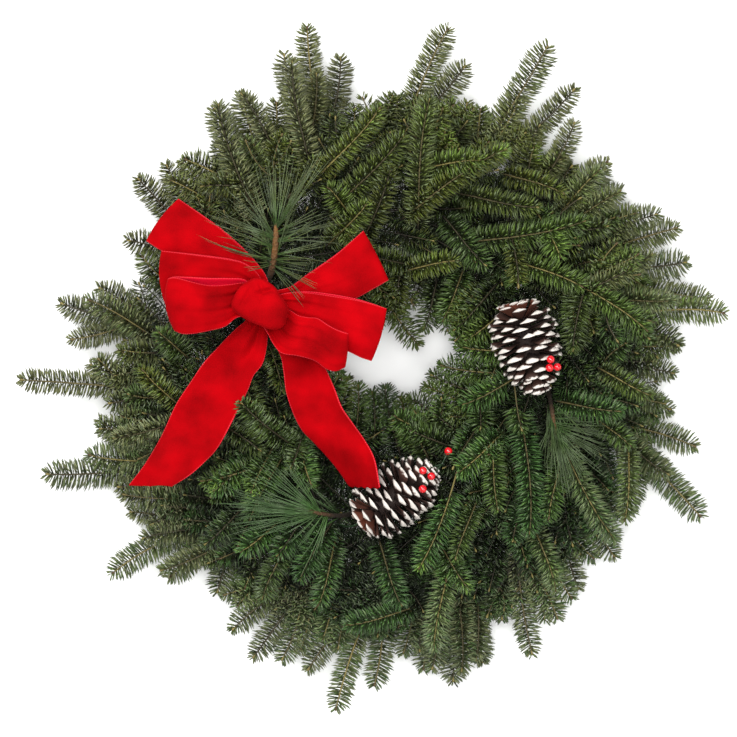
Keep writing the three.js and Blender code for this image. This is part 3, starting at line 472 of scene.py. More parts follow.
def tail_rows(left, right, heights, roll, cut):
    """Rows across a tail, from its right edge to its left one, read at equal shares s of their
    lengths. The roll lowers the left edge by its sine. Two waves, of 10 s and 19 s radians, grow over
    the first fifth, and gathers fade out as exp(-9 s). One fold, a bell both ways, runs down beside
    the right edge. The end is cut in five zigzag teeth or on a slow slant."""
    s = np.linspace(0, 1, TAIL_ROWS)[:, None]
    v = np.linspace(-1, 1, RIBBON_COLUMNS)[None, :]
    share = s * np.ones_like(v)
    if cut == "zigzag":
        share = share - 0.009 * np.abs(((v + 1) * 2.5) % 1 * 2 - 1) * s ** 20
    else:
        share = share + 0.012 * np.sin(2.4 * v) * s ** 20
    left_edge, right_edge = edge_at(left, share), edge_at(right, share)
    flat = left_edge * ((1 + v) / 2)[..., None] + right_edge * ((1 - v) / 2)[..., None]
    turn = np.radians(np.interp(s, np.linspace(0, 1, len(roll)), roll))
    middle = np.interp(s, np.linspace(0, 1, len(heights)), heights)
    growth = np.minimum(1, 5 * s)
    wave = (4.4 * np.sin(10 * s + 1.8 * v) + 2.6 * np.sin(19 * s - 2.4 * v)) * growth * (1 - 0.3 * s)
    fold = -5.0 * np.exp(-((v + 0.35) / 0.3) ** 2) * np.exp(-((s - 0.17) / 0.13) ** 2)
    gathers = 1.8 * np.cos(3.1 * np.pi * v) * np.exp(-9 * s)
    height = middle - v * RIBBON_WIDTH / 2 * np.sin(turn) + (wave + gathers) * np.cos(turn) + fold
    return np.concatenate([flat, height[..., None]], axis=-1)


def carried(material, name):
    """A value that the piece's mesh carries at its points under this name."""
    return add_node(material, "ShaderNodeAttribute", attribute_name=name).outputs["Fac"]


def worked_out(material, operation, *values):
    """The result of this operation on the values, which are sockets or numbers."""
    return add_node(
        material, "ShaderNodeMath", dict(enumerate(values)), operation=operation).outputs[0]


def cut_velvet():
    """Cut velvet: a deep saturated red with hardly any gloss, whose pile scatters a brighter red at a
    glance. It is crushed in patches about 28 mm across, the pile's grain is drawn at 0.9 mm so that
    it shows, the edges have pinker stitches 2.2 mm apart, and the woven back is a flatter red."""
    material = new_material("cut_velvet")
    crushed = reranged(material, noise(material, 0.028, 2.0), (0.3, 0.7))
    nap = mixed(material, crushed, "#660002", "#9e0006")
    pile = noise(material, 0.0009, 1.0)
    grained = mixed(material, worked_out(material, "MULTIPLY", pile, 0.4), nap, "#b2000a")
    woven = mixed(material, carried(material, "back"), grained, "#b60620")
    selvage = reranged(material, carried(material, "edge"), (0.965, 0.99))
    turns = worked_out(material, "MULTIPLY", carried(material, "run"), 2 * math.pi / STITCH)
    stitch = reranged(material, worked_out(material, "SINE", turns), (-0.6, 0.6), (0.35, 1.0))
    stitched = worked_out(material, "MULTIPLY", selvage, stitch)
    return close_material(material, {
        "Base Color": mixed(material, stitched, woven, "#d4303c"), "Roughness": 0.9,
        "Specular IOR Level": 0.04, "Sheen Weight": 0.2, "Sheen Roughness": 0.35,
        "Sheen Tint": linear("#ff1020"), "Normal": bumped(material, pile, 0.35, 0.0004)})


VELVET = cut_velvet()


def ribbon_piece(name, rows, node, pile_side):
    points, faces = ribbon_surface(rows, RIBBON_THICKNESS)
    edge = np.abs(np.linspace(-1, 1, rows.shape[1]))[None, :] * np.ones((rows.shape[0], 1))
    side = np.repeat([0.0, 1.0] if pile_side == "front" else [1.0, 0.0], edge.size)
    run = running_length(rows[:, rows.shape[1] // 2])
    piece = make_piece(name, points, [faces], [VELVET], [node],
                       attributes={"edge": np.tile(edge.ravel(), 2), "back": side,
                                   "run": np.tile(np.repeat(run, rows.shape[1]), 2)})


for loop_name, shape in LOOPS.items():
    ribbon_piece(f"velvet_loop_{loop_name}", loop_rows(*shape), f"bow_loop_{loop_name}",
                 "front" if loop_name.startswith("left") else "back")
for tail_name, shape in TAILS.items():
    cut = "zigzag" if tail_name == "right" else "slant"
    ribbon_piece(f"velvet_tail_{tail_name}", tail_rows(*shape, cut), f"bow_tail_{tail_name}",
                 "back")


# The knot
# The ribbon is turned over itself and pulled tight, so the knot is a plump pad of velvet with one
# deep fold at its upper left, beside a narrow roll.
KNOT_OUTLINE = (
    (233, 307), (235, 298), (239, 291), (246, 284), (256, 279), (265, 280), (271, 284), (277, 289),
    (282, 297), (289, 308), (288, 318), (283, 328), (272, 330), (261, 326), (251, 322), (241, 316))
KNOT_MIDDLE = (262, 304)
KNOT_HEIGHT = 126.2
KNOT_DEPTH = 13.0
KNOT_ROWS = 50
KNOT_COLUMNS = 96
KNOT_FOLDS = (
    # pixels of the two ends, depth (a rise is positive) and width in millimetres
    ((255, 296), (276, 290), -4.5, 2.2), ((260, 282), (265, 293), -2.5, 2.2),
    ((255, 286), (242, 308), -2.2, 2.6), ((266, 300), (285, 316), 2.0, 7.0),
)


def knot_surface():
    """The outline, shrunk about its middle by sin(bend)^0.45 and raised by cos(bend)^0.5, so that it
    is flat on top with rounded sides. Each fold is a bell across a line and another along it. The
    smooth outline runs past its first point at both ends, and one round of it is cut out."""
    ring = [*KNOT_OUTLINE[-2:], *KNOT_OUTLINE, *KNOT_OUTLINE[:3]]
    half = 800
    line = route_line(from_photo(ring), 2 * half)
    first, last = (np.linalg.norm(line[at:at + half] - from_photo(KNOT_OUTLINE[0]), axis=1).argmin() + at
                   for at in (0, half))
    outline = evenly(line[first:last + 1], KNOT_COLUMNS + 1)[:-1]
    middle = from_photo(KNOT_MIDDLE)
    bend = np.linspace(0, np.pi, KNOT_ROWS)[:, None]
    flat = middle + (outline - middle)[None] * (np.sin(bend) ** 0.45)[..., None]
    dome = np.sign(np.cos(bend)) * np.abs(np.cos(bend)) ** 0.5
    height = KNOT_HEIGHT + KNOT_DEPTH * dome * np.ones((1, KNOT_COLUMNS))
    for start, end, depth, width in KNOT_FOLDS:
        a, b = from_photo(start), from_photo(end)
        along = unit(b - a)
        offset = flat - (a + b) / 2
        lengthwise = offset @ along / (np.linalg.norm(b - a) / 2)
        across = (offset[..., 0] * along[1] - offset[..., 1] * along[0]) / width
        height = height + depth * np.exp(-across ** 2 - lengthwise ** 4) * (np.cos(bend) > 0)
    points = np.concatenate([flat, height[..., None]], axis=-1)
    return points.reshape(-1, 3), grid_faces(KNOT_ROWS, KNOT_COLUMNS, wrap_columns=True)[:, ::-1]


knot_points, knot_faces = knot_surface()
no_edge = np.zeros(len(knot_points))
knot = make_piece("velvet_knot", knot_points, [knot_faces], [VELVET], ["bow_knot"],
                  attributes={"edge": no_edge, "back": no_edge, "run": no_edge})


# Stems and needles of fir
# Cut tips of balsam fir: thin tan stems that end in a few brown buds, with flat blunt needles
# about 14 mm long set all round but combed to both sides, dark above and paler below.
SLOT_RADII = {"inner": 133.4, "face": 141.0, "outer": 148.0}
CUT_END = 6.0
STEM_HEIGHTS = {"inner": 6.6, "face": 5.1, "outer": 7.3}
CURVE_READINGS = 120
SHOOT_STEPS = 40
SPRAY_STEPS = 60
STEM_SIDES = 6
BUD_PLACES = np.array([3.6, 2.2, 0.8, 0.0])
BUD_SWELL = np.array([1.0, 2.1, 1.7])
BUD_END = 0.15
NEEDLES_PAST_BUD = 1.5
NEEDLE_WIDTH = 1.38
NEEDLE_TINT = 0.425
SHORTEST_SIDE = 20.0
FULL_RANKS = (
    # level above the spray, lean from the stem, needle length and pitch
    (0, 80, 14.5, 2.9), (20, 75, 14.0, 3.4), (44, 66, 12.5, 4.4), (66, 50, 10.0, 7.0), (-26, 68, 12.5, 5.0),
)
RIM_RANKS = (
    (0, 82, 15.0, 2.3), (24, 76, 14.0, 3.2), (-24, 74, 14.0, 3.4), (52, 60, 11.0, 6.0),
)
THIN_RANKS = (
    (4, 72, 14.5, 3.4), (34, 66, 13.5, 4.6), (-24, 64, 13.0, 8.0),
)
YOUNG_TIPS = from_photo([
    (506, 149), (548, 156), (450, 140), (420, 110), (518, 285), (555, 575), (466, 588), (419, 568),
    (284, 550), (212, 490), (251, 492), (484, 393), (355, 655), (160, 560), (98, 300)])
YOUNG_REACH = 9.0
YOUNG_TINT = 0.44
# share of needles given a painted highlight in the underside's colour
HIGHLIGHT_SHARE = 0.14
# painted light at the rim: where the paler grey-green starts, and how far it fades in
PALE_RADIUS = 225.0
PALE_FADE = 40.0
LOWEST_NEEDLE = 0.6


def bezier(controls, count):
    """Points at equal steps of length along a Bezier curve, which is worked out by taking weighted
    means of neighbouring control points again and again until one is left."""
    share = np.linspace(0, 1, CURVE_READINGS)[:, None]
    layers = [np.asarray(control, float) + 0 * share for control in controls]
    while len(layers) > 1:
        layers = [one + (other - one) * share for one, other in zip(layers, layers[1:])]
    return evenly(layers[0], count)


def line_length(line):
    """The length of a line of points."""
    return float(np.linalg.norm(np.diff(line, axis=0), axis=1).sum())


def stem_tube(line, radii, sides=STEM_SIDES):
    """Rings of points about a line at the given radii, joined by quads and closed at both ends."""
    along = unit(np.gradient(line, axis=0))
    aside = unit(np.cross(along, UP))
    above = np.cross(aside, along)
    angle = np.arange(sides) * 2 * np.pi / sides
    ring = aside[:, None, :] * np.cos(angle)[None, :, None] + above[:, None, :] * np.sin(angle)[None, :, None]
    points = line[:, None, :] + ring * np.asarray(radii)[:, None, None]
    caps = np.stack([np.arange(sides), (len(line) - 1) * sides + np.arange(sides)[::-1]])
    return points.reshape(-1, 3), grid_faces(len(line), sides, wrap_columns=True), caps


FULL_FAR, SLIM_FAR = 0.72, 0.6
FULL_KEEL, SLIM_KEEL = 0.36, 0.32
ROOT_HALF = 0.3
# Corners of a needle that make its faces: two far ones, the keel and the tip, after two root
# corners for a full needle or one for a slim needle, which is for places in shadow. The last two
# rows say how much of the pale underside shows at each corner.
FULL_QUADS = np.array([[0, 1, 3, 2]])
FULL_TRIANGLES = np.array([[2, 3, 5], [1, 0, 4], [0, 2, 4], [2, 5, 4], [5, 3, 4], [3, 1, 4]])
SLIM_TRIANGLES = np.array([[0, 2, 1], [0, 3, 2], [0, 1, 3], [1, 2, 4], [2, 3, 4], [3, 1, 4]])
FULL_UNDERSIDE = np.array([0.1, 0.1, 0.0, 0.0, 1.0, 0.2])
SLIM_UNDERSIDE = np.array([0.3, 0.0, 0.0, 1.0, 0.2])


def needle_blades(root, ahead, across, length, width, curl, slim):
    """Flat blades with a keel below, whose tips curl towards the given direction. The far corners
    stand half the width aside, at 0.72 of the length, or 0.6 of it in a slim needle, and the root
    corners 0.3 of the width aside. The keel hangs about a third of the width below the middle, or
    below the far corners of a slim needle."""
    over = np.cross(across, ahead)
    length, width = length[:, None], width[:, None]
    share = SLIM_FAR if slim else FULL_FAR
    far = root + ahead * length * share
    tip = far + unit(ahead + curl) * length * (1 - share)
    far_corners = [far - across * width * 0.5, far + across * width * 0.5]
    if slim:
        return np.stack([root, *far_corners, far - over * width * SLIM_KEEL, tip], axis=1)
    near_corners = [root - across * width * ROOT_HALF, root + across * width * ROOT_HALF]
    keel = root + ahead * length * 0.5 - over * width * FULL_KEEL
    return np.stack([*near_corners, *far_corners, keel, tip], axis=1)


def righted(corners, slim):
    """Blades that the floor or the ribbon has pressed inside out get their left and right corners
    swapped, which turns their faces round. They are known by their volume, the sum over the faces
    of a x b . c from one root corner, which is then below zero."""
    shape = SLIM_TRIANGLES if slim else np.concatenate([
        FULL_QUADS[:, [0, 1, 2]], FULL_QUADS[:, [0, 2, 3]], FULL_TRIANGLES])
    a, b, c = (corners[:, shape[:, k]] - corners[:, :1] for k in range(3))
    volume = (np.cross(a, b) * c).sum(axis=(1, 2))
    mirrored = corners[:, [0, 2, 1, 3, 4] if slim else [1, 0, 3, 2, 4, 5]]
    return np.where((volume < 0)[:, None, None], mirrored, corners)


def smooth_step(value):
    """0 below 0, 1 above 1, and the cubic 3 x^2 - 2 x^3 between."""
    clipped = np.clip(value, 0, 1)
    return clipped * clipped * (3 - 2 * clipped)


class Foliage:
    """Collects the stems and needles of one piece, and puts them in one mesh."""

    def __init__(self, seed):
        """Starts empty, with random draws of its own. Blades are kept by whether they are slim."""
        self.draw = np.random.default_rng(seed)
        self.stems = []
        self.blades = {False: [], True: []}

    def shoot(self, controls, thick, thin, bare, ranks):
        """One shoot: a stem along the curve with needles in ranks on both sides from bare onwards.
        Its radius falls by the 0.6th power of the way along and swells into a bud at the end. The
        needles shrink to about 0.7 at the foot and to 0.48 over the last 13 before the bud, where
        their lean from the stem halves too, so the shoot ends in a blunt point. At the rim a shoot
        gets painted light, a paler grey-green on some of its needles, and painted light and shade
        make its tint rise a little to the right and upwards. It is bluer the more vigorous it is and
        the lower it sits on the wreath."""
        line = bezier(controls, SHOOT_STEPS)
        length = line_length(line)
        steps = np.linspace(0, length, len(line))
        along = unit(np.gradient(line, axis=0))
        at = np.linspace(0, length - 5, max(4, int(length / 8)))
        at = np.concatenate([at, length - BUD_PLACES])
        points = read_at(at, steps, line)
        radii = thick + (thin - thick) * (at / length) ** 0.6
        radii[-4:] = [*(thin * BUD_SWELL), BUD_END]
        end = line[-1, :2]
        # painted light: needles near the rim are mixed towards a pale grey-green
        pale = float(smooth_step((np.linalg.norm(end) - PALE_RADIUS) / PALE_FADE))
        shade = self.draw.normal(0, 0.10)
        vigour = self.draw.uniform(0.82, 1.06)
        cool = 0.45 + 3.0 * (vigour - 0.94) + 0.0005 * end[0] - 0.0022 * end[1]
        self.stems.append((pressed(points), radii, np.clip(0.42 + 4 * shade, 0.12, 1)))
        # painted light and shade: lighter towards the upper right, darker towards the lower left
        shade += 0.00014 * end[0] + 0.00024 * end[1]
        slim = ranks is THIN_RANKS
        for level, slope, needle, pitch in ranks:
            for hand in (1, -1):
                spots = np.arange(bare + pitch * self.draw.random(), length - 0.8, pitch)
                count = len(spots)
                if not count:
                    continue
                spots = np.clip(spots + self.draw.normal(0, 0.12 * pitch, count), bare, length - 0.6)
                near_bud = smooth_step((length - spots) / 13)
                near_foot = smooth_step((spots - bare + 5) / 14)
                lean = np.radians(slope * (0.5 + 0.5 * near_bud) + self.draw.normal(0, 4, count))
                turn = np.radians(level + self.draw.normal(0, 5, count))
                centre = read_at(spots, steps, line)
                forward = unit(read_at(spots, steps, along))
                aside = unit(np.cross(forward, UP)) * hand
                above = np.cross(aside, forward) * hand
                outward = aside * np.cos(turn)[:, None] + above * np.sin(turn)[:, None]
                ahead = forward * np.cos(lean)[:, None] + outward * np.sin(lean)[:, None]
                roll = self.draw.normal(0, 0.3, (count, 1)) * outward
                across = unit(np.cross(ahead, above + 0.25 * forward + roll))
                size = needle * vigour * (0.62 + 0.38 * near_foot) * (0.48 + 0.52 * near_bud)
                size = size * self.draw.normal(1, 0.06, count)
                tint = NEEDLE_TINT + shade + self.draw.normal(0, 0.11, count)
                self.blades[slim].append((
                    centre + outward * thin * 0.5, ahead, across, size,
                    NEEDLE_WIDTH * self.draw.normal(1, 0.08, count),
                    0.26 * forward + 0.06 * UP, tint, pale * self.draw.random(count) ** 0.7,
                    np.full(count, np.clip(cool, 0, 1))))

    def spray(self, controls, thick, bare, ranks, forks, rim=400.0):
        """A shoot with side shoots on alternate sides: forks holds the first and last share of the
        stem, the pitch, reach and spread. A side shoot is half as long at the tip as at the foot, and
        is shortened to keep inside the rim. It bends forward to 0.62 of its spread, and those that
        sink have thin ranks of needles."""
        self.shoot(controls, thick, 0.6, bare, ranks)
        first, last, pitch, reach, spread = forks
        line = bezier(controls, SPRAY_STEPS)
        length = line_length(line)
        along = unit(np.gradient(line, axis=0))
        hand = 1 if self.draw.random() < 0.5 else -1
        for at in np.arange(first * length, last * length, pitch):
            hand = -hand
            step = (at + self.draw.normal(0, 2.5)) / length * (SPRAY_STEPS - 1)
            index = int(np.clip(step, 0, SPRAY_STEPS - 1))
            start, forward = line[index], along[index]
            size = reach * (1 - 0.5 * at / length) * self.draw.uniform(0.75, 1.2)
            angle = hand * (spread + self.draw.normal(0, 6))
            rise = self.draw.uniform(-0.14, 0.14)
            leaving = rotated(forward, angle) + UP * rise
            arriving = rotated(forward, angle * 0.62) + UP * rise
            room = rim - np.linalg.norm(start[:2])
            outwards = np.linalg.norm((start + arriving * size)[:2]) - np.linalg.norm(start[:2])
            if outwards > room:
                size *= max(room, 0) / outwards
            side = [start, start + leaving * size * 0.5, start + arriving * size]
            if size > SHORTEST_SIDE and is_free(bezier(side, 8)):
                self.shoot(side, 0.9, 0.5, 2.0, ranks if rise > 0.0 else THIN_RANKS)

    def make(self, name, node=None):
        """Joins the stems and the blades, leaves out blades inside a cone, and makes the piece. Parts
        deep in the wreath get painted shade and those near its top a little painted light,
        needles near this year's tips are younger by a bell of the distance, and one needle in
        seven is a painted highlight, given the pale underside's colour all over."""
        points, groups, woody, tints = [], [], [], []
        start = 0
        for line, radii, tone in self.stems:
            # painted shade: the stem's random tone, darkened deep in the wreath; the buds are marked by
            # adding 1
            fir_stem_tone_and_shade = tone * np.clip(1.1 + 3 * depth_shade(line), 0, 1)
            fir_stem_tone_and_shade[-4:] += 1
            tints.append(np.repeat(fir_stem_tone_and_shade, STEM_SIDES))
            tube, quads, caps = stem_tube(line, radii)
            points.append(tube)
            groups += [quads + start, caps + start]
            woody += [0, 0]
            start += len(tube)
        bloom_below_and_highlights, pales, cools = [np.zeros(start)], [np.zeros(start)], [np.zeros(start)]
        for slim, blades in self.blades.items():
            if not blades:
                continue
            root, ahead, across, size, width, curl, tint, pale, cool = (
                np.concatenate(column) for column in zip(*blades))
            tips = root + ahead * size[:, None]
            free = ~(in_cone(tips, 1.0) | in_cone(root, 1.5))
            corners = needle_blades(root[free], ahead[free], across[free], size[free], width[free],
                                    curl[free], slim)
            each = corners.shape[1]
            corners = pressed(corners.reshape(-1, 3))
            corners[:, 2] = np.maximum(corners[:, 2], LOWEST_NEEDLE)
            corners = righted(corners.reshape(-1, each, 3), slim).reshape(-1, 3)
            points.append(corners)
            first = start + each * np.arange(int(free.sum()))[:, None, None]
            shapes = [SLIM_TRIANGLES] if slim else [FULL_QUADS, FULL_TRIANGLES]
            groups += [(first + shape).reshape(-1, shape.shape[1]) for shape in shapes]
            woody += [1] * len(shapes)
            underside = SLIM_UNDERSIDE if slim else FULL_UNDERSIDE
            apart = np.linalg.norm(YOUNG_TIPS[:, None] - tips[None, :, :2], axis=2).min(axis=0)
            # painted shade deep in the wreath and a little painted light near its top
            tint = tint + depth_shade(root) + YOUNG_TINT * np.exp(-(apart / YOUNG_REACH) ** 2)
            tints.append(np.repeat(tint[free], each))
            # painted highlight: one needle in seven gets the pale underside's colour all over
            highlight_needles = self.draw.random(int(free.sum())) < HIGHLIGHT_SHARE
            bloom_below_and_highlights.append(np.maximum(underside, highlight_needles[:, None]).ravel())
            pales.append(np.repeat(pale[free], each))
            cools.append(np.repeat(cool[free], each))
            start += len(corners)
        return make_piece(
            name, np.concatenate(points), groups, [FIR_BARK, FIR_NEEDLE],
            [node] if node else [],
            face_material=np.concatenate([np.full(len(g), kind) for g, kind in zip(groups, woody)]),
            attributes={"tint": np.concatenate(tints), "under": np.concatenate(bloom_below_and_highlights),
                        "pale": np.concatenate(pales), "cool": np.concatenate(cools)})


def rotated(vector, degrees):
    """The vector turned about the vertical."""
    angle = math.radians(degrees)
    x, y, z = vector
    return np.array([x * math.cos(angle) - y * math.sin(angle), x * math.sin(angle) + y * math.cos(angle), z])


# Room round the bow, the cones and the hole
# The ribbon presses the foliage under it down, the cones sit in nests between the sprays, and the
# maker keeps a hole open in the middle.
CONE_AXES = (
    # middle, heading of the tip, half length and radius kept free
    (np.array([118.8, 15.8, 72.0]), -75.0, 31.0, 29.0),
    (np.array([4.4, -113.5, 66.0]), 36.0, 31.0, 29.0),
)
HOLE_CENTRE = np.array([10.0, 7.0])
HOLE_HALVES = np.array([48.0, 31.0])
FOLIAGE_TOP = 96.0
UNDER_RIBBON = 6.0
PRESSED_NEAR = 8.0
PRESSED_FADE = 34.0
CUSHION_TOP = 84.0
CUSHION_DROP = 30.0
CUSHION_RADIUS = 165.0
CUSHION_HALF = 105.0
CUSHION_RIM = 260.0
SHADE_RADIUS = 205.0
SHADE_FADE = 30.0
SHADE_SLOPE = 0.9
SHADE_FROM = 0.85
DARKEST, LIGHTEST = -0.4, 0.06
press_spots = np.concatenate(
    [loop_rows(*shape)[52:92:6, ::6].reshape(-1, 3) for shape in LOOPS.values()]
    + [tail_rows(*shape, "slant")[::7, ::6].reshape(-1, 3) for shape in TAILS.values()])


def in_cone(points, margin):
    """True for points nearer to a cone's axis than the radius kept free less the margin."""
    inside = np.zeros(len(points), bool)
    for middle, heading, half, radius in CONE_AXES:
        axis = turned(1.0, heading)
        offset = points - middle
        along = np.clip(offset @ axis, -half, half)
        distance = np.linalg.norm(offset - along[:, None] * axis, axis=1)
        inside |= distance < radius - margin
    return inside


def in_hole(points):
    """True for points inside the ellipse of the hole."""
    return (((points[:, :2] - HOLE_CENTRE) / HOLE_HALVES) ** 2).sum(axis=1) < 1


def is_free(line):
    """A side shoot is left out where it would run through a cone, the hole or the floor."""
    return not (in_cone(line, -3.0).any() or in_hole(line).any() or line[:, 2].min() < 2.0)


def pressed(points):
    """Lowers points under the ribbon: heights shrink in the ratio of the room under the nearest
    part of the ribbon to the foliage's usual top, in full up to 8 away from it and fading over the
    next 34."""
    points = np.array(points, float)
    distance = np.linalg.norm(points[:, None, :2] - press_spots[None, :, :2], axis=2)
    nearest = distance.argmin(axis=1)
    ratio = np.minimum((press_spots[nearest, 2] - UNDER_RIBBON) / FOLIAGE_TOP, 1)
    fade = smooth_step((distance.min(axis=1) - PRESSED_NEAR) / PRESSED_FADE)
    points[:, 2] *= ratio + (1 - ratio) * fade
    return points


def cushion_height(place):
    """The wreath's rounded top, a parabola: 84 high where the radius is 165, 30 lower 105 away from
    there, and level beyond a radius of 260."""
    radius = np.minimum(np.linalg.norm(place, axis=-1), CUSHION_RIM)
    return CUSHION_TOP - CUSHION_DROP * ((radius - CUSHION_RADIUS) / CUSHION_HALF) ** 2


def depth_shade(points):
    """Painted shade and light: how much lighter parts are painted, below zero for darker ones: 0.4
    darker deep inside, in proportion to how far they are below 0.85 of the rounded top, up to
    0.06 lighter above that, and nothing at the rim."""
    share = points[:, 2] / cushion_height(points[:, :2])
    inside = 1 - smooth_step((np.linalg.norm(points[:, :2], axis=1) - SHADE_RADIUS) / SHADE_FADE)
    return np.clip(SHADE_SLOPE * (share - SHADE_FROM), DARKEST, LIGHTEST) * inside


def fir_bark():
    """Young fir bark: olive tan in patches 9 mm long, with painted shade that darkens it deep in the
    wreath, fine bumps 1 mm across and buds of a redder brown."""
    material = new_material("fir_bark")
    fir_stem_tone_and_shade = carried(material, "tint")
    tan = mixed(material, noise(material, 0.009, 4.0), "#483f20", "#8c8044")
    # random tone and painted shade deep in the wreath mix the tan towards a near-black brown
    shaded = mixed(material, fir_stem_tone_and_shade, "#1f1a0d", tan)
    bud = reranged(material, fir_stem_tone_and_shade, (1.3, 1.7))
    return close_material(material, {
        "Base Color": mixed(material, bud, shaded, "#4a3a20"), "Roughness": 0.75,
        "Normal": bumped(material, noise(material, 0.0011, 2.0), 0.5, 0.0003)})


def fir_needle():
    """Waxy needle leaf: dark green above with a soft gloss, bluer on some shoots than on others, with
    a grey-green bloom below, and yellow green on this year's growth. Painted shade darkens it
    towards a near-black green deep in the wreath, painted light makes it paler grey-green at the
    rim, and one needle in seven is a painted highlight in the bloom's colour. The wax varies over
    4 mm."""
    material = new_material("fir_needle")
    tint = carried(material, "tint")
    grown = mixed(material, carried(material, "cool"), "#575f1c", "#446a2e")
    # random tone and painted shade deep in the wreath mix the green towards a near-black green
    leaf = mixed(material, reranged(material, tint, (0.0, 0.6)), "#111a08", grown)
    fresh = mixed(material, reranged(material, tint, (0.6, 1.05)), leaf, "#76943a")
    # painted light: the rim's needles mixed towards a pale grey-green
    rim_light = worked_out(material, "MULTIPLY", carried(material, "pale"), 0.68)
    grey = mixed(material, rim_light, fresh, "#93956a")
    # the pale bloom below, and on the highlight needles a painted highlight all over
    back = worked_out(material, "MULTIPLY", carried(material, "under"), 0.45)
    return close_material(material, {
        "Base Color": mixed(material, back, grey, "#7b8966"),
        "Roughness": reranged(material, noise(material, 0.004, 2.0), (0.0, 1.0), (0.34, 0.52)),
        "Specular IOR Level": 0.6})


FIR_BARK = fir_bark()
FIR_NEEDLE = fir_needle()
FORK_STEPS = 120
FORK_ANGLE = 42


def fork_controls(main, share, tip):
    """A side twig of a branch: it leaves the main stem 42 degrees to its tip's side and bends
    forward to the tip."""
    line = bezier(main, FORK_STEPS)
    index = int(round(share * (FORK_STEPS - 1)))
    start = line[index]
    along = unit(np.gradient(line, axis=0))[index]
    towards = np.asarray(tip, float) - start
    hand = -1 if along[0] * towards[1] - along[1] * towards[0] < 0 else 1
    leaving = rotated(along, hand * FORK_ANGLE)
    return [start, start + leaving * np.linalg.norm(towards) * 0.45, np.asarray(tip, float)]


def main_controls(start, leaving, tip, arriving, pull):
    """The four control points of a main stem, from the directions in which it leaves and arrives
    and how hard these two pull."""
    span = np.linalg.norm(tip - start)
    return [start, start + leaving * span * pull[0], tip - arriving * span * pull[1], tip]


# Outer branches
# Eighteen branches, one from each clamp, sweep clockwise and outwards. Their tips make the ragged
# outline, and they lie lowest.
OUTER_TIP_HEIGHTS = (20, 27, 34)
OUTER_TURN = -65
OUTER_SLOPE = 0.04
OUTER_PULLS = (0.3, 0.35)
BODY_RIM = 240.0
# Stems: radius at the foot, and the length without needles. Forks: the first and the last share of
# the stem that has side shoots, their pitch, reach and spread.
OUTER_STEM = (2.1, 44.0)
SIDE_STEM = (1.2, 3.0)
OUTER_FORKS = (0.2, 0.82, 13.0, 78.0, 50.0)
OUTER_SIDE_FORKS = (0.15, 0.6, 20.0, 46.0, 48.0)
OUTER_BRANCHES = (
    # outline tip (angle, radius, by how much the branch still turns outwards there), then side tips
    # (angle, radius, share of the main stem)
    ((169.2, 301, 12), ((175.3, 288, 0.62), (165, 271, 0.5))),
    ((143.5, 282, 12), ((154.6, 262, 0.4), (138.2, 270, 0.6))),
    ((119.1, 277, 12), ((135.1, 261, 0.35), (124.6, 279, 0.55), (113.6, 257, 0.5))),
    ((104, 312, 12), ((109, 295, 0.45), (99.4, 280, 0.45))),
    ((80.5, 305, 22), ((92.4, 229, 0.3), (76.2, 276, 0.5))),
    ((64, 317, 4), ((71, 243, 0.4), (56.6, 296, 0.4))),
    ((43.4, 266, 12), ((51, 243, 0.4), (37.4, 258, 0.5))),
    ((25.8, 283, 12), ((31.5, 240, 0.5), (19.4, 279, 0.45))),
    ((8.9, 300, 24), ((14, 240, 0.4), (3.8, 257, 0.5))),
    ((-26.1, 307, 24), ((-8.8, 253, 0.22), (-14.9, 281, 0.4), (-33, 245, 0.6))),
    ((-40.6, 262, 12), ((-35.3, 232, 0.5), (-50.2, 260, 0.45))),
    ((-64.1, 286, 12), ((-56.8, 270, 0.45), (-69.5, 240, 0.5))),
    ((-79, 287, 12), ((-73, 277, 0.5), (-84.1, 273, 0.5))),
    ((-99.3, 311, 4), ((-93.2, 286, 0.4), (-105.5, 282, 0.5))),
    ((-115.5, 288, 12), ((-110.6, 280, 0.55), (-121.2, 275, 0.5))),
    ((-143.4, 311, -4), ((-127.5, 256, 0.3), (-136.5, 275, 0.45), (-151, 268, 0.55))),
    ((-162.7, 323, 20), ((-156.3, 268, 0.4), (-169.6, 265, 0.5))),
    ((-177.9, 331, 6), ((-172.5, 255, 0.45), (178.4, 262, 0.55))),
)
for index, (tip, sides) in enumerate(OUTER_BRANCHES):
    angle = CLAMP_ANGLES[index]
    height = OUTER_TIP_HEIGHTS[index % 3]
    leaving = turned(1.0, angle + OUTER_TURN)
    start = turned(SLOT_RADII["outer"], angle, STEM_HEIGHTS["outer"]) - leaving * CUT_END
    leaving = leaving + UP * OUTER_SLOPE
    end = turned(tip[1] - NEEDLES_PAST_BUD, tip[0], height)
    controls = main_controls(start, leaving, end, turned(1.0, tip[0] - tip[2]), OUTER_PULLS)
    branch = Foliage(100 + index)
    branch.spray(controls, *OUTER_STEM, RIM_RANKS, OUTER_FORKS, BODY_RIM)
    for side_angle, side_radius, share in sides:
        side_tip = turned(side_radius - NEEDLES_PAST_BUD, side_angle, height - 2)
        branch.spray(
            fork_controls(controls, share, side_tip), *SIDE_STEM, RIM_RANKS, OUTER_SIDE_FORKS, BODY_RIM)
    branch.make(f"fir_sweep_outer_{index + 1:02d}", f"fir_outer_{index + 1:02d}")


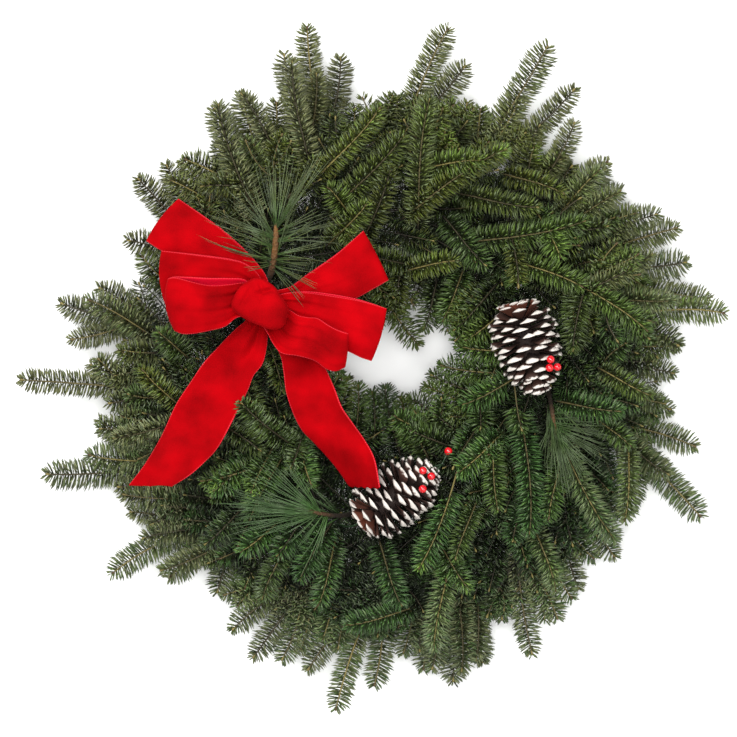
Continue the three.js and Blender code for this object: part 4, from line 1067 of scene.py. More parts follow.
# Face branches
# Branches laid over the ring and the outer ones, each covering the cut end of the next. They rise
# out of the clamps and point clockwise.
FACE_TURN = -90
FACE_SLOPE = 0.3
FACE_TIP_SLOPE = 0.12
FACE_PULLS = (0.38, 0.38)
FACE_STEM = (2.0, 14.0)
FACE_FORKS = (0.16, 0.85, 13.0, 62.0, 50.0)
FACE_SIDE_FORKS = (0.2, 0.7, 20.0, 42.0, 48.0)
FACE_BRANCHES = (
    # clamp, tip, heading of the tip, height, then side tips (x, y, share of the main stem)
    (1, (-172, 150), 110, 60, ((-204, 96, 0.4), (-140, 165, 0.5))),
    (2, (-96, 205), 62, 64, ((-131, 190, 0.4), (-62, 184, 0.45))),
    (3, (-11, 228), 54, 60, ((10, 203, 0.35), (-40, 213, 0.5))),
    (5, (32, 234), 74, 66, ((101, 191, 0.3), (54, 200, 0.5))),
    (6, (170, 128), 14, 66, ((111, 68, 0.3), (148, 95, 0.6))),
    (7, (218, 99), 30, 72, ((227, 23, 0.5), (161, 14, 0.5))),
    (8, (202, -40), -24, 52, ((196, 4, 0.5),)),
    (9, (197, -154), -56, 50, ((160, -160, 0.55),)),
    (10, (121, -148), -84, 66, ((138, -98, 0.3), (90, -84, 0.3))),
    (11, (92, -150), -92, 56, ((118, -172, 0.4), (70, -128, 0.4))),
    (12, (33, -172), -124, 62, ((62, -182, 0.35),)),
    (13, (-41, -228), -164, 50, ((8, -214, 0.35), (-56, -196, 0.6))),
    (15, (-165, -103), 190, 58, ((-136, -160, 0.35),)),
    (16, (-224, -2), 136, 54, ((-246, -63, 0.35), (-200, 34, 0.6))),
)
for order, (clamp, tip, heading, top, sides) in enumerate(FACE_BRANCHES):
    angle = CLAMP_ANGLES[clamp]
    leaving = turned(1.0, angle + FACE_TURN)
    foot = turned(SLOT_RADII["face"], angle, STEM_HEIGHTS["face"] - CUT_END * FACE_SLOPE)
    start = foot - leaving * CUT_END
    leaving = leaving + UP * FACE_SLOPE
    end = np.array([*tip, top], float)
    arriving = turned(1.0, heading) + UP * FACE_TIP_SLOPE
    controls = main_controls(start, leaving, end, arriving, FACE_PULLS)
    branch = Foliage(300 + order)
    branch.spray(controls, *FACE_STEM, FULL_RANKS, FACE_FORKS, BODY_RIM)
    for x, y, share in sides:
        branch.spray(
            fork_controls(controls, share, (x, y, top - 3)), *SIDE_STEM, FULL_RANKS, FACE_SIDE_FORKS,
            BODY_RIM)
    branch.make(f"fir_sweep_face_{order + 1:02d}", f"fir_face_{order + 1:02d}")


# Inner branches
# Seven short branches that point into the hole and make its soft edge. Their cut ends are held in
# the clamps as those of the others are.
INNER_TURN = -115
INNER_SLOPE = 0.02
INNER_TIP_TURN = 220
INNER_TIP_SLOPE = 0.3
INNER_PULLS = (0.35, 0.35)
INNER_STEM = (2.0, 10.0)
INNER_FORKS = (0.12, 0.85, 9.0, 60.0, 54.0)
INNER_BRANCHES = (
    # clamp, tip (x, y) and its height
    (3, (-16, 54), 46), (5, (40, 56), 40), (7, (72, 16), 46), (10, (60, -32), 40),
    (12, (20, -42), 46), (15, (-34, -40), 40), (17, (-58, -8), 46),
)
for order, (clamp, tip, top) in enumerate(INNER_BRANCHES):
    angle = CLAMP_ANGLES[clamp]
    leaving = turned(1.0, angle + INNER_TURN)
    start = turned(SLOT_RADII["inner"], angle, STEM_HEIGHTS["inner"]) - leaving * CUT_END
    leaving = leaving + UP * INNER_SLOPE
    end = np.array([*tip, top], float)
    outward = math.degrees(math.atan2(tip[1], tip[0]))
    arriving = turned(1.0, outward + INNER_TIP_TURN) + UP * INNER_TIP_SLOPE
    controls = main_controls(start, leaving, end, arriving, INNER_PULLS)
    branch = Foliage(500 + order)
    branch.spray(controls, *INNER_STEM, FULL_RANKS, INNER_FORKS)
    branch.make(f"fir_sweep_inner_{order + 1}", f"fir_inner_{order + 1}")


# Offcuts
# Short offcuts of fir pushed in between the branches, deep in the wreath. They hide the wire, fill
# the gaps with dark green, and soften the edge of the hole.
OFFCUT_LANES = (
    # start radius, turn from the clockwise direction (inwards is negative), length, tip height
    (136, -72, 104, 40), (140, -38, 84, 50), (140, 22, 76, 46), (142, 54, 90, 34), (176, 30, 62, 44),
    (120, -50, 70, 30), (138, -10, 70, 22),
)
OFFCUTS_A_LANE = 36
OFFCUT_COUNT = OFFCUTS_A_LANE * len(OFFCUT_LANES)
# An offcut that would run through a cone, the hole or the floor is cut to the next of these shares
OFFCUT_SHARES = (1.0, 0.85, 0.7, 0.5)
quarters = [Foliage(800 + quarter) for quarter in range(4)]
for order in range(OFFCUT_COUNT):
    ring, turn, reach, top = OFFCUT_LANES[order % len(OFFCUT_LANES)]
    angle = order * 360 / OFFCUT_COUNT
    offcuts = quarters[int(angle // 90)]
    draw = offcuts.draw
    start = turned(ring + draw.uniform(-7, 7), angle, 14 + draw.uniform(0, 6))
    heading = turned(1.0, angle - 90 + turn + draw.normal(0, 9))
    reach = reach * draw.uniform(0.85, 1.1)
    for share in OFFCUT_SHARES:
        size = share * reach
        tip = start + heading * size + UP * (top + draw.normal(0, 5) - start[2])
        side = [start, start + heading * size * 0.4 + UP * 3, tip]
        if is_free(bezier(side, 8)):
            offcuts.shoot(side, 0.8, 0.4, 3.0, THIN_RANKS)
            break
for quarter, offcuts in enumerate(quarters):
    offcuts.make(f"fir_offcuts_{quarter + 1}")


# Tucked tips
# Single cut tips that the maker pushes in between the branches. They lie on top, so each is placed
# where the photograph shows one, by the pixels of its foot and its bud.
TUCKED_TIPS = (
    (250, 198, 218, 103), (266, 136, 240, 92), (307, 147, 292, 60), (332, 161, 381, 107),
    (349, 192, 404, 135), (368, 227, 391, 167), (342, 230, 367, 204), (420, 205, 430, 98),
    (342, 205, 327, 187), (237, 187, 200, 187), (420, 207, 507, 149), (437, 167, 482, 161),
    (479, 197, 539, 208), (522, 180, 565, 195), (484, 239, 586, 221), (511, 240, 518, 289),
    (420, 268, 459, 261), (458, 233, 487, 267), (546, 230, 560, 259), (529, 267, 583, 288),
    (585, 290, 653, 253), (585, 290, 648, 332), (585, 290, 572, 352), (574, 198, 600, 170),
    (588, 212, 619, 193), (581, 230, 609, 226), (516, 392, 522, 432), (522, 432, 529, 534),
    (505, 383, 462, 405), (480, 413, 480, 431), (494, 452, 498, 511), (488, 446, 455, 474),
    (455, 474, 418, 569), (568, 455, 616, 541), (628, 466, 624, 522), (610, 430, 631, 447),
    (576, 404, 622, 411), (248, 469, 200, 481), (302, 451, 313, 488), (396, 612, 345, 625),
    (172, 398, 142, 368), (162, 426, 112, 438), (172, 344, 158, 332), (393, 262, 366, 258),
    (470, 300, 452, 322), (398, 282, 392, 318), (432, 300, 424, 330), (345, 232, 372, 262),
    (560, 470, 548, 520), (470, 520, 455, 560), (540, 545, 556, 592), (386, 560, 402, 606),
    (330, 560, 318, 606), (280, 560, 262, 600), (230, 520, 204, 545), (196, 452, 168, 470),
    (250, 400, 262, 436), (446, 586, 434, 650), (448, 556, 470, 590), (238, 468, 212, 492),
    (264, 466, 251, 494), (618, 378, 652, 396), (640, 300, 676, 300),
    (374, 276, 420, 346), (482, 300, 453, 331), (456, 288, 442, 322), (490, 322, 464, 341),
    (496, 350, 458, 346), (492, 372, 440, 365), (484, 394, 430, 374), (462, 404, 424, 386),
    (446, 424, 408, 398), (420, 440, 400, 396), (396, 436, 385, 386), (374, 430, 372, 391),
    (356, 424, 358, 384), (338, 414, 347, 376), (322, 400, 340, 372), (436, 440, 392, 420),
    (276, 470, 250, 520), (300, 520, 276, 556), (268, 530, 240, 552), (322, 540, 300, 580),
    (270, 350, 282, 392), (300, 440, 290, 470), (230, 430, 262, 452), (470, 440, 452, 470),
)
# One tip stands up between the bow's tails, and low tips fill the wreath's edge and thin places
LIFTED_TIP = (284, 438, 241, 401)
LOW_TIPS = (
    (545, 178, 576, 120), (520, 172, 542, 122), (488, 150, 520, 98), (528, 186, 536, 142),
    (585, 195, 607, 167), (598, 240, 660, 213), (600, 226, 640, 212), (636, 282, 712, 298),
    (596, 338, 650, 336), (610, 352, 680, 347), (612, 366, 677, 374), (612, 386, 668, 404),
    (596, 356, 658, 361), (632, 445, 672, 476), (570, 530, 596, 560), (552, 560, 574, 601),
    (530, 572, 546, 622), (505, 582, 503, 622), (478, 610, 476, 664), (460, 615, 462, 674),
    (440, 610, 432, 672), (430, 590, 420, 654), (416, 585, 403, 656), (352, 598, 338, 652),
    (335, 580, 322, 642), (312, 588, 300, 652), (300, 550, 284, 592), (270, 545, 244, 590),
    (254, 590, 236, 608), (215, 548, 158, 572), (205, 530, 140, 540), (205, 513, 148, 526),
    (232, 520, 182, 520), (190, 498, 120, 495), (215, 506, 158, 506), (150, 461, 86, 455),
    (165, 440, 97, 429), (150, 386, 88, 364), (140, 330, 86, 299), (166, 282, 140, 254),
    (214, 205, 166, 178), (204, 190, 180, 160), (234, 176, 216, 140), (312, 122, 316, 70),
    (454, 136, 468, 100), (242, 346, 204, 336), (500, 520, 486, 558), (432, 562, 424, 604),
    (150, 372, 112, 376), (372, 556, 337, 538), (440, 140, 457, 107), (168, 352, 116, 349),
    (170, 424, 118, 416), (234, 376, 194, 358), (236, 540, 254, 580), (262, 588, 222, 597),
    (588, 440, 604, 476), (470, 200, 504, 212),
)
# Heights at a point 20 before the foot, at the foot, half way and at the bud: of a low tip, of a tip
# on top against the wreath's rounded top, and how much more the lifted tip has
LOW_TIP_HEIGHTS = np.array([10, 22, 32, 28])
TOP_TIP_OFFSETS = np.array([-36, -4, 0, -2])
LIFT = np.array([0, 18, 20, 31])
TIP_BEND = 0.09
quarters = [Foliage(700 + quarter) for quarter in range(4)]
for order, (x0, y0, x1, y1) in enumerate([LIFTED_TIP, *TUCKED_TIPS, *LOW_TIPS]):
    foot, bud = from_photo([(x0, y0), (x1, y1)])
    heading = (bud - foot) / np.linalg.norm(bud - foot)
    quarter = int((math.degrees(math.atan2(*foot[::-1])) % 360) // 90)
    tips = quarters[quarter]
    below = foot - heading * 20
    aside = heading[::-1] * [1, -1] * np.linalg.norm(bud - foot)
    bent = (foot + bud) / 2 + aside * tips.draw.choice([-TIP_BEND, TIP_BEND])
    route = np.array([below, foot, bent, bud])
    low = order > len(TUCKED_TIPS)
    levels = LOW_TIP_HEIGHTS if low else cushion_height(route) + TOP_TIP_OFFSETS
    if order == 0:
        levels = levels + LIFT
    tips.shoot(np.column_stack([route, levels]), 1.0, 0.5, 5.0, RIM_RANKS if low else FULL_RANKS)
for quarter, tips in enumerate(quarters):
    tips.make(f"fir_tucked_tips_{quarter + 1}")


# White pine
# Three tips of white pine between the fir: soft blue-green needles up to 80 mm long in bundles of
# five, on a brown stem with the scars of last year's bundles.
PINE_ROUTES = (
    [[-128.7, 35.5, 4.9], [-126.9, 41.2, 5.1], [-125, 47, 6.4], [-119, 58, 26], [-112, 70, 62],
     [-105, 86, 92], [-102, 106, 104], [-101.5, 127, 108]],
    [[-12.6, -132.9, 4.9], [-18.6, -132.1, 5.1], [-24.6, -131.5, 6.4], [-34, -131, 22], [-45, -132, 46],
     [-56, -131, 64], [-66, -129, 73], [-76, -127, 76]],
    [[133.2, 10.6, 4.9], [133.3, 4.7, 5.1], [133.6, -1.3, 6.4], [136, -12, 22], [139, -27, 46],
     [141, -40, 62], [143, -54, 70], [145, -66, 73]],
)
PINE_LEAFY_LENGTH = 46.0
PINE_BUNDLES = (
    # share of the leafy length, the pixel at which the bundle's needles end, and its height
    ((1.0, 262, 160, 122), (1.0, 275, 158, 128), (0.97, 268, 172, 118), (0.95, 305, 160, 122),
     (0.97, 318, 150, 126), (0.94, 314, 166, 118), (0.93, 326, 164, 124), (0.98, 290, 154, 116),
     (0.8, 224, 192, 122), (0.78, 204, 209, 124), (0.72, 214, 220, 118), (0.75, 238, 184, 116),
     (0.8, 345, 222, 122), (0.7, 338, 237, 120), (0.84, 330, 212, 112), (0.66, 322, 226, 126),
     (0.55, 216, 230, 124), (0.6, 250, 178, 110), (0.5, 226, 214, 112), (0.3, 209, 241, 130),
     (0.26, 212, 249, 128), (0.3, 310, 260, 116), (0.24, 311, 269, 118), (0.16, 318, 287, 128),
     (0.1, 305, 299, 130), (0.2, 244, 267, 124), (0.4, 334, 248, 112), (0.3, 262, 206, 118),
     (0.35, 294, 204, 118)),
    ((1.0, 226, 498, 92), (1.0, 225, 511, 98), (0.97, 223, 520, 94), (0.95, 221, 530, 88),
     (0.98, 232, 489, 86), (0.94, 240, 482, 84), (0.92, 236, 535, 84), (0.9, 240, 506, 104),
     (0.85, 255, 534, 90), (0.8, 275, 541, 88), (0.85, 258, 452, 90), (0.8, 271, 449, 94),
     (0.84, 250, 468, 84), (0.75, 284, 458, 90), (0.7, 296, 546, 86), (0.9, 243, 494, 100),
     (0.6, 299, 577, 86), (0.88, 245, 522, 98), (0.55, 318, 560, 80), (0.93, 228, 505, 90),
     (0.7, 262, 474, 84), (0.1, 262, 508, 90), (0.2, 256, 520, 88), (0.3, 250, 498, 92),
     (0.35, 262, 488, 88), (0.05, 290, 540, 78), (0.1, 292, 474, 80), (0.3, 232, 512, 98),
     (0.5, 238, 508, 100), (0.15, 254, 512, 92)),
    ((1.0, 558, 490, 92), (0.96, 544, 466, 90), (1.0, 572, 492, 88), (0.97, 584, 487, 92),
     (0.95, 596, 478, 88), (0.9, 604, 466, 92), (0.85, 612, 452, 90), (0.8, 616, 440, 86),
     (0.7, 613, 428, 84), (0.9, 588, 474, 96), (0.8, 600, 458, 98), (0.6, 604, 420, 80),
     (0.85, 548, 478, 84), (0.98, 564, 498, 86), (0.93, 578, 480, 98), (0.75, 606, 446, 92),
     (0.65, 540, 452, 82), (0.5, 596, 410, 78), (0.9, 570, 474, 96), (0.8, 590, 464, 84),
     (0.1, 546, 456, 88), (0.2, 566, 466, 92), (0.3, 556, 474, 94), (0.15, 584, 448, 88),
     (0.3, 598, 434, 84), (0.35, 560, 484, 100), (0.5, 554, 478, 98), (0.2, 551, 462, 92)),
)
PINE_LOOKS = (
    # bark's tone, radius, needles' tint and how cool they are
    (1.0, 3.4, 0.52, 0.15), (0.5, 2.4, 0.66, 0.9), (0.6, 2.4, 0.46, 0.5),
)
PINE_STEPS = 40
PINE_SIDES = 10
PINE_BUD = (2.0, 1.6, 0.4)
BUNDLE = 5
PINE_NEEDLE_RADIUS = 0.4
NEEDLE_SHARES = np.array([0.0, 0.3, 0.6, 0.86])
NEEDLE_TAPER = np.array([0.7, 1, 0.9, 0.55])
NEEDLE_WAY = np.append(np.repeat(NEEDLE_SHARES, 3), 1.0)
NEEDLE_CORNERS = len(NEEDLE_WAY)
NEEDLE_DROOP = 0.14
PINE_LOWEST, PINE_HIGHEST = 6.0, 147.0


def pine_blades(root, ahead, bend, length):
    """Thin needles with a three-cornered section at four shares of the length: each bends from its
    first direction towards the bend by the square of the way along it, and tapers to a point."""
    aside = unit(np.cross(ahead, UP + 0.01))
    above = np.cross(aside, ahead)
    line = (root[:, None] + (ahead * length[:, None])[:, None] * NEEDLE_SHARES[None, :, None]
            + (bend * length[:, None])[:, None] * NEEDLE_SHARES[None, :, None] ** 2)
    corner = np.radians([90, 210, 330])
    ring = aside[:, None] * np.cos(corner)[None, :, None] + above[:, None] * np.sin(corner)[None, :, None]
    radius = PINE_NEEDLE_RADIUS * NEEDLE_TAPER[None, :, None, None]
    points = line[:, :, None] + ring[:, None] * radius
    tip = root + (ahead + bend) * length[:, None]
    points = np.concatenate([points.reshape(len(root), -1, 3), tip[:, None]], axis=1)
    start = NEEDLE_CORNERS * np.arange(len(root))[:, None]
    tube_faces = grid_faces(len(NEEDLE_SHARES), 3, wrap_columns=True)
    quads = (start[:, :, None] + tube_faces[None]).reshape(-1, 4)
    triangles = np.concatenate([start + [0, 1, 2], start + [9, 12, 10], start + [10, 12, 11],
                                start + [11, 12, 9]])
    return points.reshape(-1, 3), quads, triangles


def pine_needle():
    """Soft pine needle: green with a grey bloom in patches 12 mm long and a soft gloss, fresher near
    its foot. Its tint varies by bundle and by needle, and one tip is more olive than the others."""
    material = new_material("pine_needle")
    grown = mixed(material, carried(material, "cool"), "#5c6634", "#4e6f40")
    fresh = reranged(material, carried(material, "way"), (0.05, 0.45), (0.65, 0.0))
    blade = mixed(material, fresh, grown, "#64944a")
    leaf = mixed(material, carried(material, "tint"), "#222c14", blade)
    bloom = reranged(material, noise(material, 0.012, 2.0), (0.45, 0.75), (0.0, 0.45))
    return close_material(material, {
        "Base Color": mixed(material, bloom, leaf, "#7c8c6c"), "Roughness": 0.5,
        "Specular IOR Level": 0.45})


def pine_bark():
    """Pine twig: flaky brown, with painted shade that makes it darker towards its foot, deep in the
    wreath, and scales 2.4 mm across where the bundles of past years fell off."""
    material = new_material("pine_bark")
    flaky = mixed(material, noise(material, 0.005, 3.0), "#38220b", "#7d531f")
    place = add_node(material, "ShaderNodeTexCoord").outputs["Object"]
    flakes = add_node(material, "ShaderNodeTexVoronoi", {"Vector": place, "Scale": 1 / 0.0024})
    # painted shade: the carried tone mixes the brown towards near black at the twig's foot
    return close_material(material, {
        "Base Color": mixed(material, carried(material, "tint"), "#1c140b", flaky), "Roughness": 0.8,
        "Normal": bumped(material, flakes.outputs["Distance"], 0.9, 0.0012)})


PINE_NEEDLE = pine_needle()
PINE_BARK = pine_bark()
for order, route in enumerate(PINE_ROUTES):
    draw = np.random.default_rng(900 + order)
    line = route_line(route, PINE_STEPS)
    length = line_length(line)
    steps = np.linspace(0, length, PINE_STEPS)
    along = unit(np.gradient(line, axis=0))
    tone, thick, needle_tint, cool = PINE_LOOKS[order]
    radii = thick - 0.7 * steps / length
    radii[-3:] = PINE_BUD
    stem, stem_quads, stem_caps = stem_tube(line, radii, PINE_SIDES)
    # painted shade: the bark darkens below three quarters of the tip's height, deep in the wreath
    pine_stem_shade_and_tone = tone * np.clip((line[:, 2] / line[-1, 2] - 0.74) / 0.24, 0.1, 1)
    bundles = np.array(PINE_BUNDLES[order])
    place = length - 3 - PINE_LEAFY_LENGTH * (1 - bundles[:, 0])
    centre = read_at(place, steps, line)
    forward = unit(read_at(place, steps, along))
    target = np.concatenate([from_photo(bundles[:, 1:3]), bundles[:, 3:]], axis=1)
    outward = target - centre
    outward = unit(unit(outward - (outward * forward).sum(axis=1, keepdims=True) * forward) + 0.7 * UP)
    reach = np.linalg.norm(target - centre, axis=1)
    count = BUNDLE * len(bundles)
    roots = np.repeat(centre + outward * 1.6, BUNDLE, axis=0) + draw.normal(0, 0.5, (count, 3))
    scatter = draw.normal(0, 1, (count, 3)) * np.repeat(reach, BUNDLE)[:, None] * 0.08
    ends = np.repeat(target, BUNDLE, axis=0) + scatter
    lengths = np.linalg.norm(ends - roots, axis=1) * draw.uniform(0.8, 1.06, count)
    bend = np.repeat(draw.normal(0, 0.08, (len(bundles), 3)), BUNDLE, axis=0) - NEEDLE_DROOP * UP
    bend = bend + draw.normal(0, 0.06, (count, 3))
    ahead = unit(ends - roots) - bend
    tint = np.repeat(needle_tint + draw.normal(0, 0.14, len(bundles)), BUNDLE)
    tint = tint + draw.normal(0, 0.18, count)
    blades, quads, triangles = pine_blades(roots, ahead, bend, lengths)
    blades[:, 2] = np.clip(blades[:, 2], PINE_LOWEST, PINE_HIGHEST)
    first = len(stem)
    groups = [stem_quads, stem_caps, quads + first, triangles + first]
    make_piece(
        f"white_pine_tip_{order + 1}", np.concatenate([stem, blades]), groups, [PINE_BARK, PINE_NEEDLE],
        [f"white_pine_spray_{order + 1}"],
        face_material=np.concatenate([np.full(len(g), kind) for g, kind in zip(groups, (0, 0, 1, 1))]),
        attributes={
            "tint": np.concatenate([np.repeat(pine_stem_shade_and_tone, PINE_SIDES),
                                    np.repeat(np.clip(tint, 0, 1), NEEDLE_CORNERS)]),
            "way": np.concatenate([np.ones(first), np.tile(NEEDLE_WAY, count)]),
            "cool": np.full(first + NEEDLE_CORNERS * count, cool)})


# Cones
# Open pine cones, dark brown inside. Each woody scale ends in a thick lip that has been brushed
# with white, and the scales wind up the cone a golden angle apart.
CONE_LENGTH = 84.0
CONE_CORE_RADIUS = 19.0
CONE_RADIUS = 29.8
CORE_ROWS = 24
CORE_COLUMNS = 20
SCALE_COUNT = 124
SCALE_SIDES = 8
SCALE_HALF_WIDTH = 7.4
GOLDEN_ANGLE = 137.5077
# Size and lean (in degrees) of the scales, by their share of the way from the butt to the tip. Those
# at the butt lean backwards, which rounds it.
SIZE_SHARES = (0, 0.03, 0.08, 0.15, 0.25, 0.55, 0.75, 0.9, 1)
SIZES = (0.35, 0.5, 0.8, 0.95, 1.0, 0.97, 0.76, 0.48, 0.16)
LEAN_SHARES = (0, 0.03, 0.08, 0.15, 0.4, 0.7, 1)
LEANS = (-65, -55, -35, -12, 8, 28, 62)
# A scale's sections on its way out: where they are, their half width, thickness and curl
SCALE_WAY = np.array([0.0, 0.3, 0.55, 0.74, 0.86, 0.95, 1.0])
SECTION_WIDTHS = np.array([0.25, 0.48, 0.78, 1.0, 1.0, 0.90, 0.62])
SECTION_DEPTHS = np.array([0.40, 0.36, 0.45, 0.70, 1.0, 1.0, 0.50])
SECTION_CURLS = np.array([0.0, 0.0, 0.0, 0.01, 0.03, 0.05, 0.06])


def cone_core():
    """A spindle behind the scales, whose radius goes by the root of a half sine wave along it."""
    share = np.linspace(0, 1, CORE_ROWS)[:, None]
    turn = np.linspace(0, 2 * np.pi, CORE_COLUMNS, endpoint=False)[None, :]
    radius = np.maximum(0.2, 0.5 * CONE_CORE_RADIUS * np.sin(np.pi * share) ** 0.5)
    points = np.stack([
        radius * np.cos(turn), radius * np.sin(turn),
        (share - 0.5) * CONE_LENGTH * 0.78 + 0 * turn], axis=-1).reshape(-1, 3)
    end = np.arange(CORE_COLUMNS)
    caps = np.stack([end[::-1], (CORE_ROWS - 1) * CORE_COLUMNS + end])
    return points, grid_faces(CORE_ROWS, CORE_COLUMNS, wrap_columns=True)[:, ::-1], caps


def cone_scales(seed):
    """Scales about the cone's axis. A scale's way out is a, from 0 at the core to 1 at its lip, and
    its half width and thickness are functions of a. Its section is a low triangle: flat on the side
    of the tip, and peaked in the middle as (1 - |x|)^0.8 on the side of the butt. Also how brushed
    and how warm in tone each point is."""
    draw = np.random.default_rng(seed)
    order = np.arange(SCALE_COUNT)
    share = ((order + 0.5) / SCALE_COUNT) ** 1.15
    full = np.interp(share, SIZE_SHARES, SIZES)
    angle = np.radians(order * GOLDEN_ANGLE + draw.normal(0, 2.5, SCALE_COUNT))
    height = (share - 0.48) * CONE_LENGTH * 0.77 + draw.normal(0, 0.4, SCALE_COUNT)
    outward = np.stack([np.cos(angle), np.sin(angle), 0 * angle], axis=1)
    across = np.stack([-np.sin(angle), np.cos(angle), 0 * angle], axis=1)
    lean = np.interp(share, LEAN_SHARES, LEANS)
    lean = np.radians(lean + draw.normal(0, 5, SCALE_COUNT))[:, None]
    ahead = outward * np.cos(lean) + UP * np.sin(lean)
    over = UP * np.cos(lean) - outward * np.sin(lean)
    root = outward * (CONE_CORE_RADIUS * 0.35 * full)[:, None] + UP * height[:, None]
    reach = (CONE_RADIUS - CONE_CORE_RADIUS * 0.35) * (0.3 + 0.7 * full)
    reach = reach * draw.normal(1, 0.05, SCALE_COUNT)
    turn = np.arange(SCALE_SIDES) * 2 * np.pi / SCALE_SIDES
    width = SCALE_HALF_WIDTH * full ** 0.6 * draw.normal(1, 0.08, SCALE_COUNT)
    ring_x = np.sign(np.cos(turn)) * np.abs(np.cos(turn)) ** 0.9
    ring_y = np.where(np.sin(turn) < 0, -3.3, 0.7) * (1 - np.abs(ring_x)) ** 0.8
    line = (root[:, None] + ahead[:, None] * (reach[:, None] * SCALE_WAY)[..., None]
            + over[:, None] * (reach[:, None] * SECTION_CURLS)[..., None])
    wide = width[:, None, None] * SECTION_WIDTHS[None, :, None] * ring_x[None, None, :]
    deep = full[:, None, None] ** 0.5 * SECTION_DEPTHS[None, :, None] * ring_y[None, None, :]
    points = (line[:, :, None] + across[:, None, None] * wide[..., None]
              + over[:, None, None] * deep[..., None])
    rows, count = len(SCALE_WAY), SCALE_SIDES
    start = (rows * count) * np.arange(SCALE_COUNT)[:, None, None]
    quads = (start + grid_faces(rows, count, wrap_columns=True)[None, :, ::-1]).reshape(-1, 4)
    end = np.arange(count)[None]
    caps = np.concatenate([start[:, 0] + end[:, ::-1], start[:, 0] + (rows - 1) * count + end])
    brushed = SCALE_WAY[None, :, None] + 0.02 * ring_y[None, None, :]
    brushed = brushed + draw.normal(0, 0.02, SCALE_COUNT)[:, None, None]
    warmth = np.clip(1.15 - 9 * share, 0, 1) + draw.uniform(0, 0.25, SCALE_COUNT)
    tone = np.broadcast_to(warmth[:, None, None], points.shape[:3])
    return points.reshape(-1, 3), quads, caps, brushed.ravel(), tone.ravel()


def brushed_cone():
    """Dry cone wood with white paint dragged over the lips: the paint is whole at the rim, breaks up
    over about 4 mm and leaves the wood behind it dark brown."""
    material = new_material("brushed_cone")
    fibres = noise(material, 0.0012, 2.0)
    wood = mixed(material, fibres, "#150b06", "#2d190f")
    warm = mixed(material, carried(material, "tone"), wood, "#65301a")
    edge = worked_out(material, "MULTIPLY_ADD", noise(material, 0.0036, 3.0), 0.22, -0.11)
    reach = worked_out(material, "ADD", carried(material, "brushed"), edge)
    paint = reranged(material, reach, (0.86, 0.92))
    return close_material(material, {
        "Base Color": mixed(material, paint, warm, "#cdc5bc"), "Roughness": 0.8,
        "Normal": bumped(material, fibres, 0.5, 0.0005)})


BRUSHED_CONE = brushed_cone()
core, core_quads, core_caps = cone_core()
for order, cone_axis in enumerate(CONE_AXES):
    middle, heading = cone_axis[:2]
    points, quads, caps, brushed, tone = cone_scales(40 + order)
    local = np.concatenate([points, core])
    axis = turned(1.0, heading)
    side = np.cross(axis, UP)
    placed = middle + axis * local[:, 2:3] - side * local[:, 1:2] - UP * local[:, 0:1]
    first = len(points)
    zero = np.zeros(len(core))
    make_piece(
        f"brushed_cone_{order + 1}", placed, [quads, caps, core_quads + first, core_caps + first],
        [BRUSHED_CONE], [f"pine_cone_{order + 1}"],
        attributes={"brushed": np.concatenate([brushed, zero]), "tone": np.concatenate([tone, zero])})


# Wires
# Thin enamelled florist's wire: one ties the bow to the ring, and one holds each cone by its butt.
# They hook under a rail.
WIRE_RADIUS = 0.8
WIRE_STEPS = 90
HOOK_GAP = 1.2
HOOK_DROP = 0.8
HOOK_BEND = 0.8
HOOK_TOP, HOOK_KNEE, HOOK_END = 11.0, 3.0, 8.0


def hook_route(rail_radius, degrees):
    """The route of a hook down one side of a rail, under it, and up the other side: clear of the
    rail beside it, bent inwards at the bottom, and a hair lower in the middle."""
    side = WIRE / 2 + WIRE_RADIUS + HOOK_GAP
    low = WIRE - WELD - WIRE_RADIUS - HOOK_DROP
    return [
        turned(rail_radius - side, degrees, HOOK_TOP), turned(rail_radius - side, degrees, HOOK_KNEE),
        turned(rail_radius - side + HOOK_BEND, degrees, low), turned(rail_radius, degrees, low - 0.1),
        turned(rail_radius + side - HOOK_BEND, degrees, low),
        turned(rail_radius + side, degrees, HOOK_KNEE), turned(rail_radius + side, degrees, HOOK_END)]


WIRE_ROUTES = {
    # points from the top down to the hook, and the angle at which the hook holds a rail
    "bow_tie_wire": ([(-114.4, 53.7, 110.8), (-114.2, 53.6, 70), (-113.4, 53.1, 30),
                      *hook_route(128.0, 154.9)], 154.9),
    "cone_pick_1": ([(109.05, 52.15, 72), (108.2, 55.4, 71), (107.2, 58.4, 66), (107.4, 58.6, 45),
                     (111, 55.2, 24), *hook_route(128.0, 25.7)], 25.7),
    "cone_pick_2": ([(-26.05, -135.65, 66), (-29, -137.8, 65), (-34, -140.6, 60), (-42, -141.5, 42),
                     (-49, -139.6, 22), *hook_route(152.0, -110.0)], -110.0),
}


def wire_tube(line, radius, aside, sides=8):
    """Rings about a line, each square to it, kept from twisting by aside, a direction that the line
    never takes."""
    along = unit(np.gradient(line, axis=0))
    above = unit(np.cross(aside, along))
    beside = np.cross(along, above)
    angle = np.arange(sides) * 2 * np.pi / sides
    ring = beside[:, None] * np.cos(angle)[None, :, None] + above[:, None] * np.sin(angle)[None, :, None]
    points = (line[:, None] + ring * radius).reshape(-1, 3)
    caps = np.stack([np.arange(sides), (len(line) - 1) * sides + np.arange(sides)[::-1]])
    return points, grid_faces(len(line), sides, wrap_columns=True), caps


for wire_name, (route, degrees) in WIRE_ROUTES.items():
    line = route_line(route, WIRE_STEPS)
    points, quads, caps = wire_tube(line, WIRE_RADIUS, turned(1.0, degrees + 90))
    make_piece(f"florist_{wire_name}", points, [quads, caps], [WIRE_ENAMEL], [wire_name])


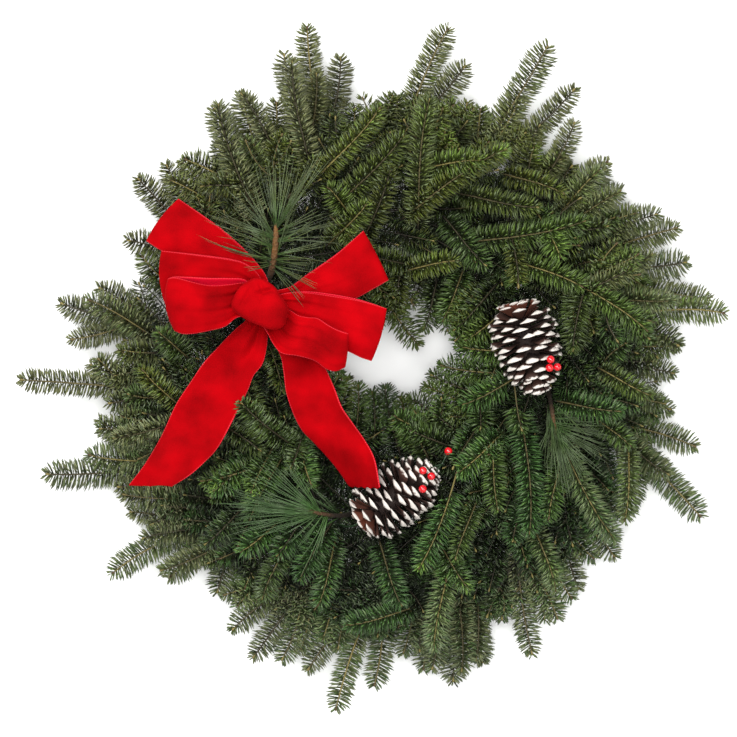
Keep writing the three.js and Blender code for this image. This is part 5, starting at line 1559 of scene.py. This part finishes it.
# Berries
# Glossy red berries on thin wires, pushed in beside each cone in small clusters.
BERRY_RADIUS = 3.5
BERRY_ROWS = 18
BERRY_COLUMNS = 24
DIMPLE_DEPTH = 0.13
DIMPLE_WIDTH = 0.22
CALYX_WIDTH = 0.16
BERRY_WIRE_RADIUS = 0.6
BERRY_WIRE_STEPS = 10
BERRY_WIRE_SIDES = 6
BERRY_WIRE_SAG = 9
OFF_THE_WIRES = np.array([1.0, 0.3, 0.1])
BERRY_CLUSTERS = {
    # centres, the knee where the stems meet, and the foot of the cluster
    "berries_1": ([(138.6, 5.7, 97), (137.7, -1.6, 95), (144.6, -0.9, 92)], (147, -5, 84), (149, -8, 70)),
    "berries_2": ([(27, -91.6, 88), (34.4, -96.6, 86), (26.8, -107.6, 94), (49.5, -74.8, 72)],
                  (44, -86, 70), (46, -88, 56)),
}


def berry_surface(centre, knee):
    """A ball with a dimple at its free end: its radius dips by 0.13 in a narrow bell about the pole,
    which points away from the knee. A narrower bell tells where the calyx is."""
    axis = unit(np.asarray(centre, float) - np.asarray(knee, float))
    aside = unit(np.cross(axis, UP + 0.01))
    above = np.cross(aside, axis)
    bend = np.linspace(0, np.pi, BERRY_ROWS)[:, None]
    turn = np.linspace(0, 2 * np.pi, BERRY_COLUMNS, endpoint=False)[None, :]
    radius = BERRY_RADIUS * (1 - DIMPLE_DEPTH * np.exp(-(bend / DIMPLE_WIDTH) ** 2)) * np.ones_like(turn)
    local = np.stack([np.sin(bend) * np.cos(turn), np.sin(bend) * np.sin(turn),
                      np.cos(bend) * np.ones_like(turn)], axis=-1) * radius[..., None]
    points = (np.asarray(centre, float) + local[..., :1] * aside + local[..., 1:2] * above
              + local[..., 2:] * axis)
    dimple = np.broadcast_to(np.exp(-(bend / CALYX_WIDTH) ** 2), radius.shape)
    faces = grid_faces(BERRY_ROWS, BERRY_COLUMNS, wrap_columns=True)[:, ::-1]
    return points.reshape(-1, 3), faces, dimple.ravel()


def lacquered_berry():
    """Lacquered berry: bright red under a clear gloss, with a dark calyx in the dimple and tone that
    drifts over 3 mm."""
    material = new_material("lacquered_berry")
    skin = mixed(material, noise(material, 0.003, 1.0), "#b80410", "#e41020")
    return close_material(material, {
        "Base Color": mixed(material, carried(material, "dimple"), skin, "#2a0a08"), "Roughness": 0.22,
        "Coat Weight": 0.6, "Coat Roughness": 0.08})


LACQUERED_BERRY = lacquered_berry()
for cluster_name, (centres, knee, foot) in BERRY_CLUSTERS.items():
    balls, dimples, wires, wire_caps, start = [], [], [], [], 0
    for centre in centres:
        points, quads, dimple = berry_surface(centre, knee)
        balls.append((points, quads))
        dimples.append(dimple)
    ball_points, ball_quads = gathered(balls)
    for top, bottom in [(centre, knee) for centre in centres] + [(knee, foot)]:
        top, bottom = np.asarray(top, float), np.asarray(bottom, float)
        bend = top + (bottom - top) * 0.2 - BERRY_WIRE_SAG * UP * (bottom is not foot)
        line = bezier([top, bend, bottom], BERRY_WIRE_STEPS)
        points, quads, caps = wire_tube(line, BERRY_WIRE_RADIUS, OFF_THE_WIRES, BERRY_WIRE_SIDES)
        wires.append((points, quads))
        wire_caps.append(caps + len(ball_points) + start)
        start += len(points)
    wire_points, wire_quads = gathered(wires)
    groups = [ball_quads, wire_quads + len(ball_points), np.concatenate(wire_caps)]
    make_piece(
        f"red_{cluster_name}", np.concatenate([ball_points, wire_points]), groups,
        [LACQUERED_BERRY, WIRE_ENAMEL], [cluster_name],
        face_material=np.concatenate([np.full(len(g), kind) for g, kind in zip(groups, (0, 1, 1))]),
        attributes={"dimple": np.concatenate([*dimples, np.zeros(len(wire_points))])})
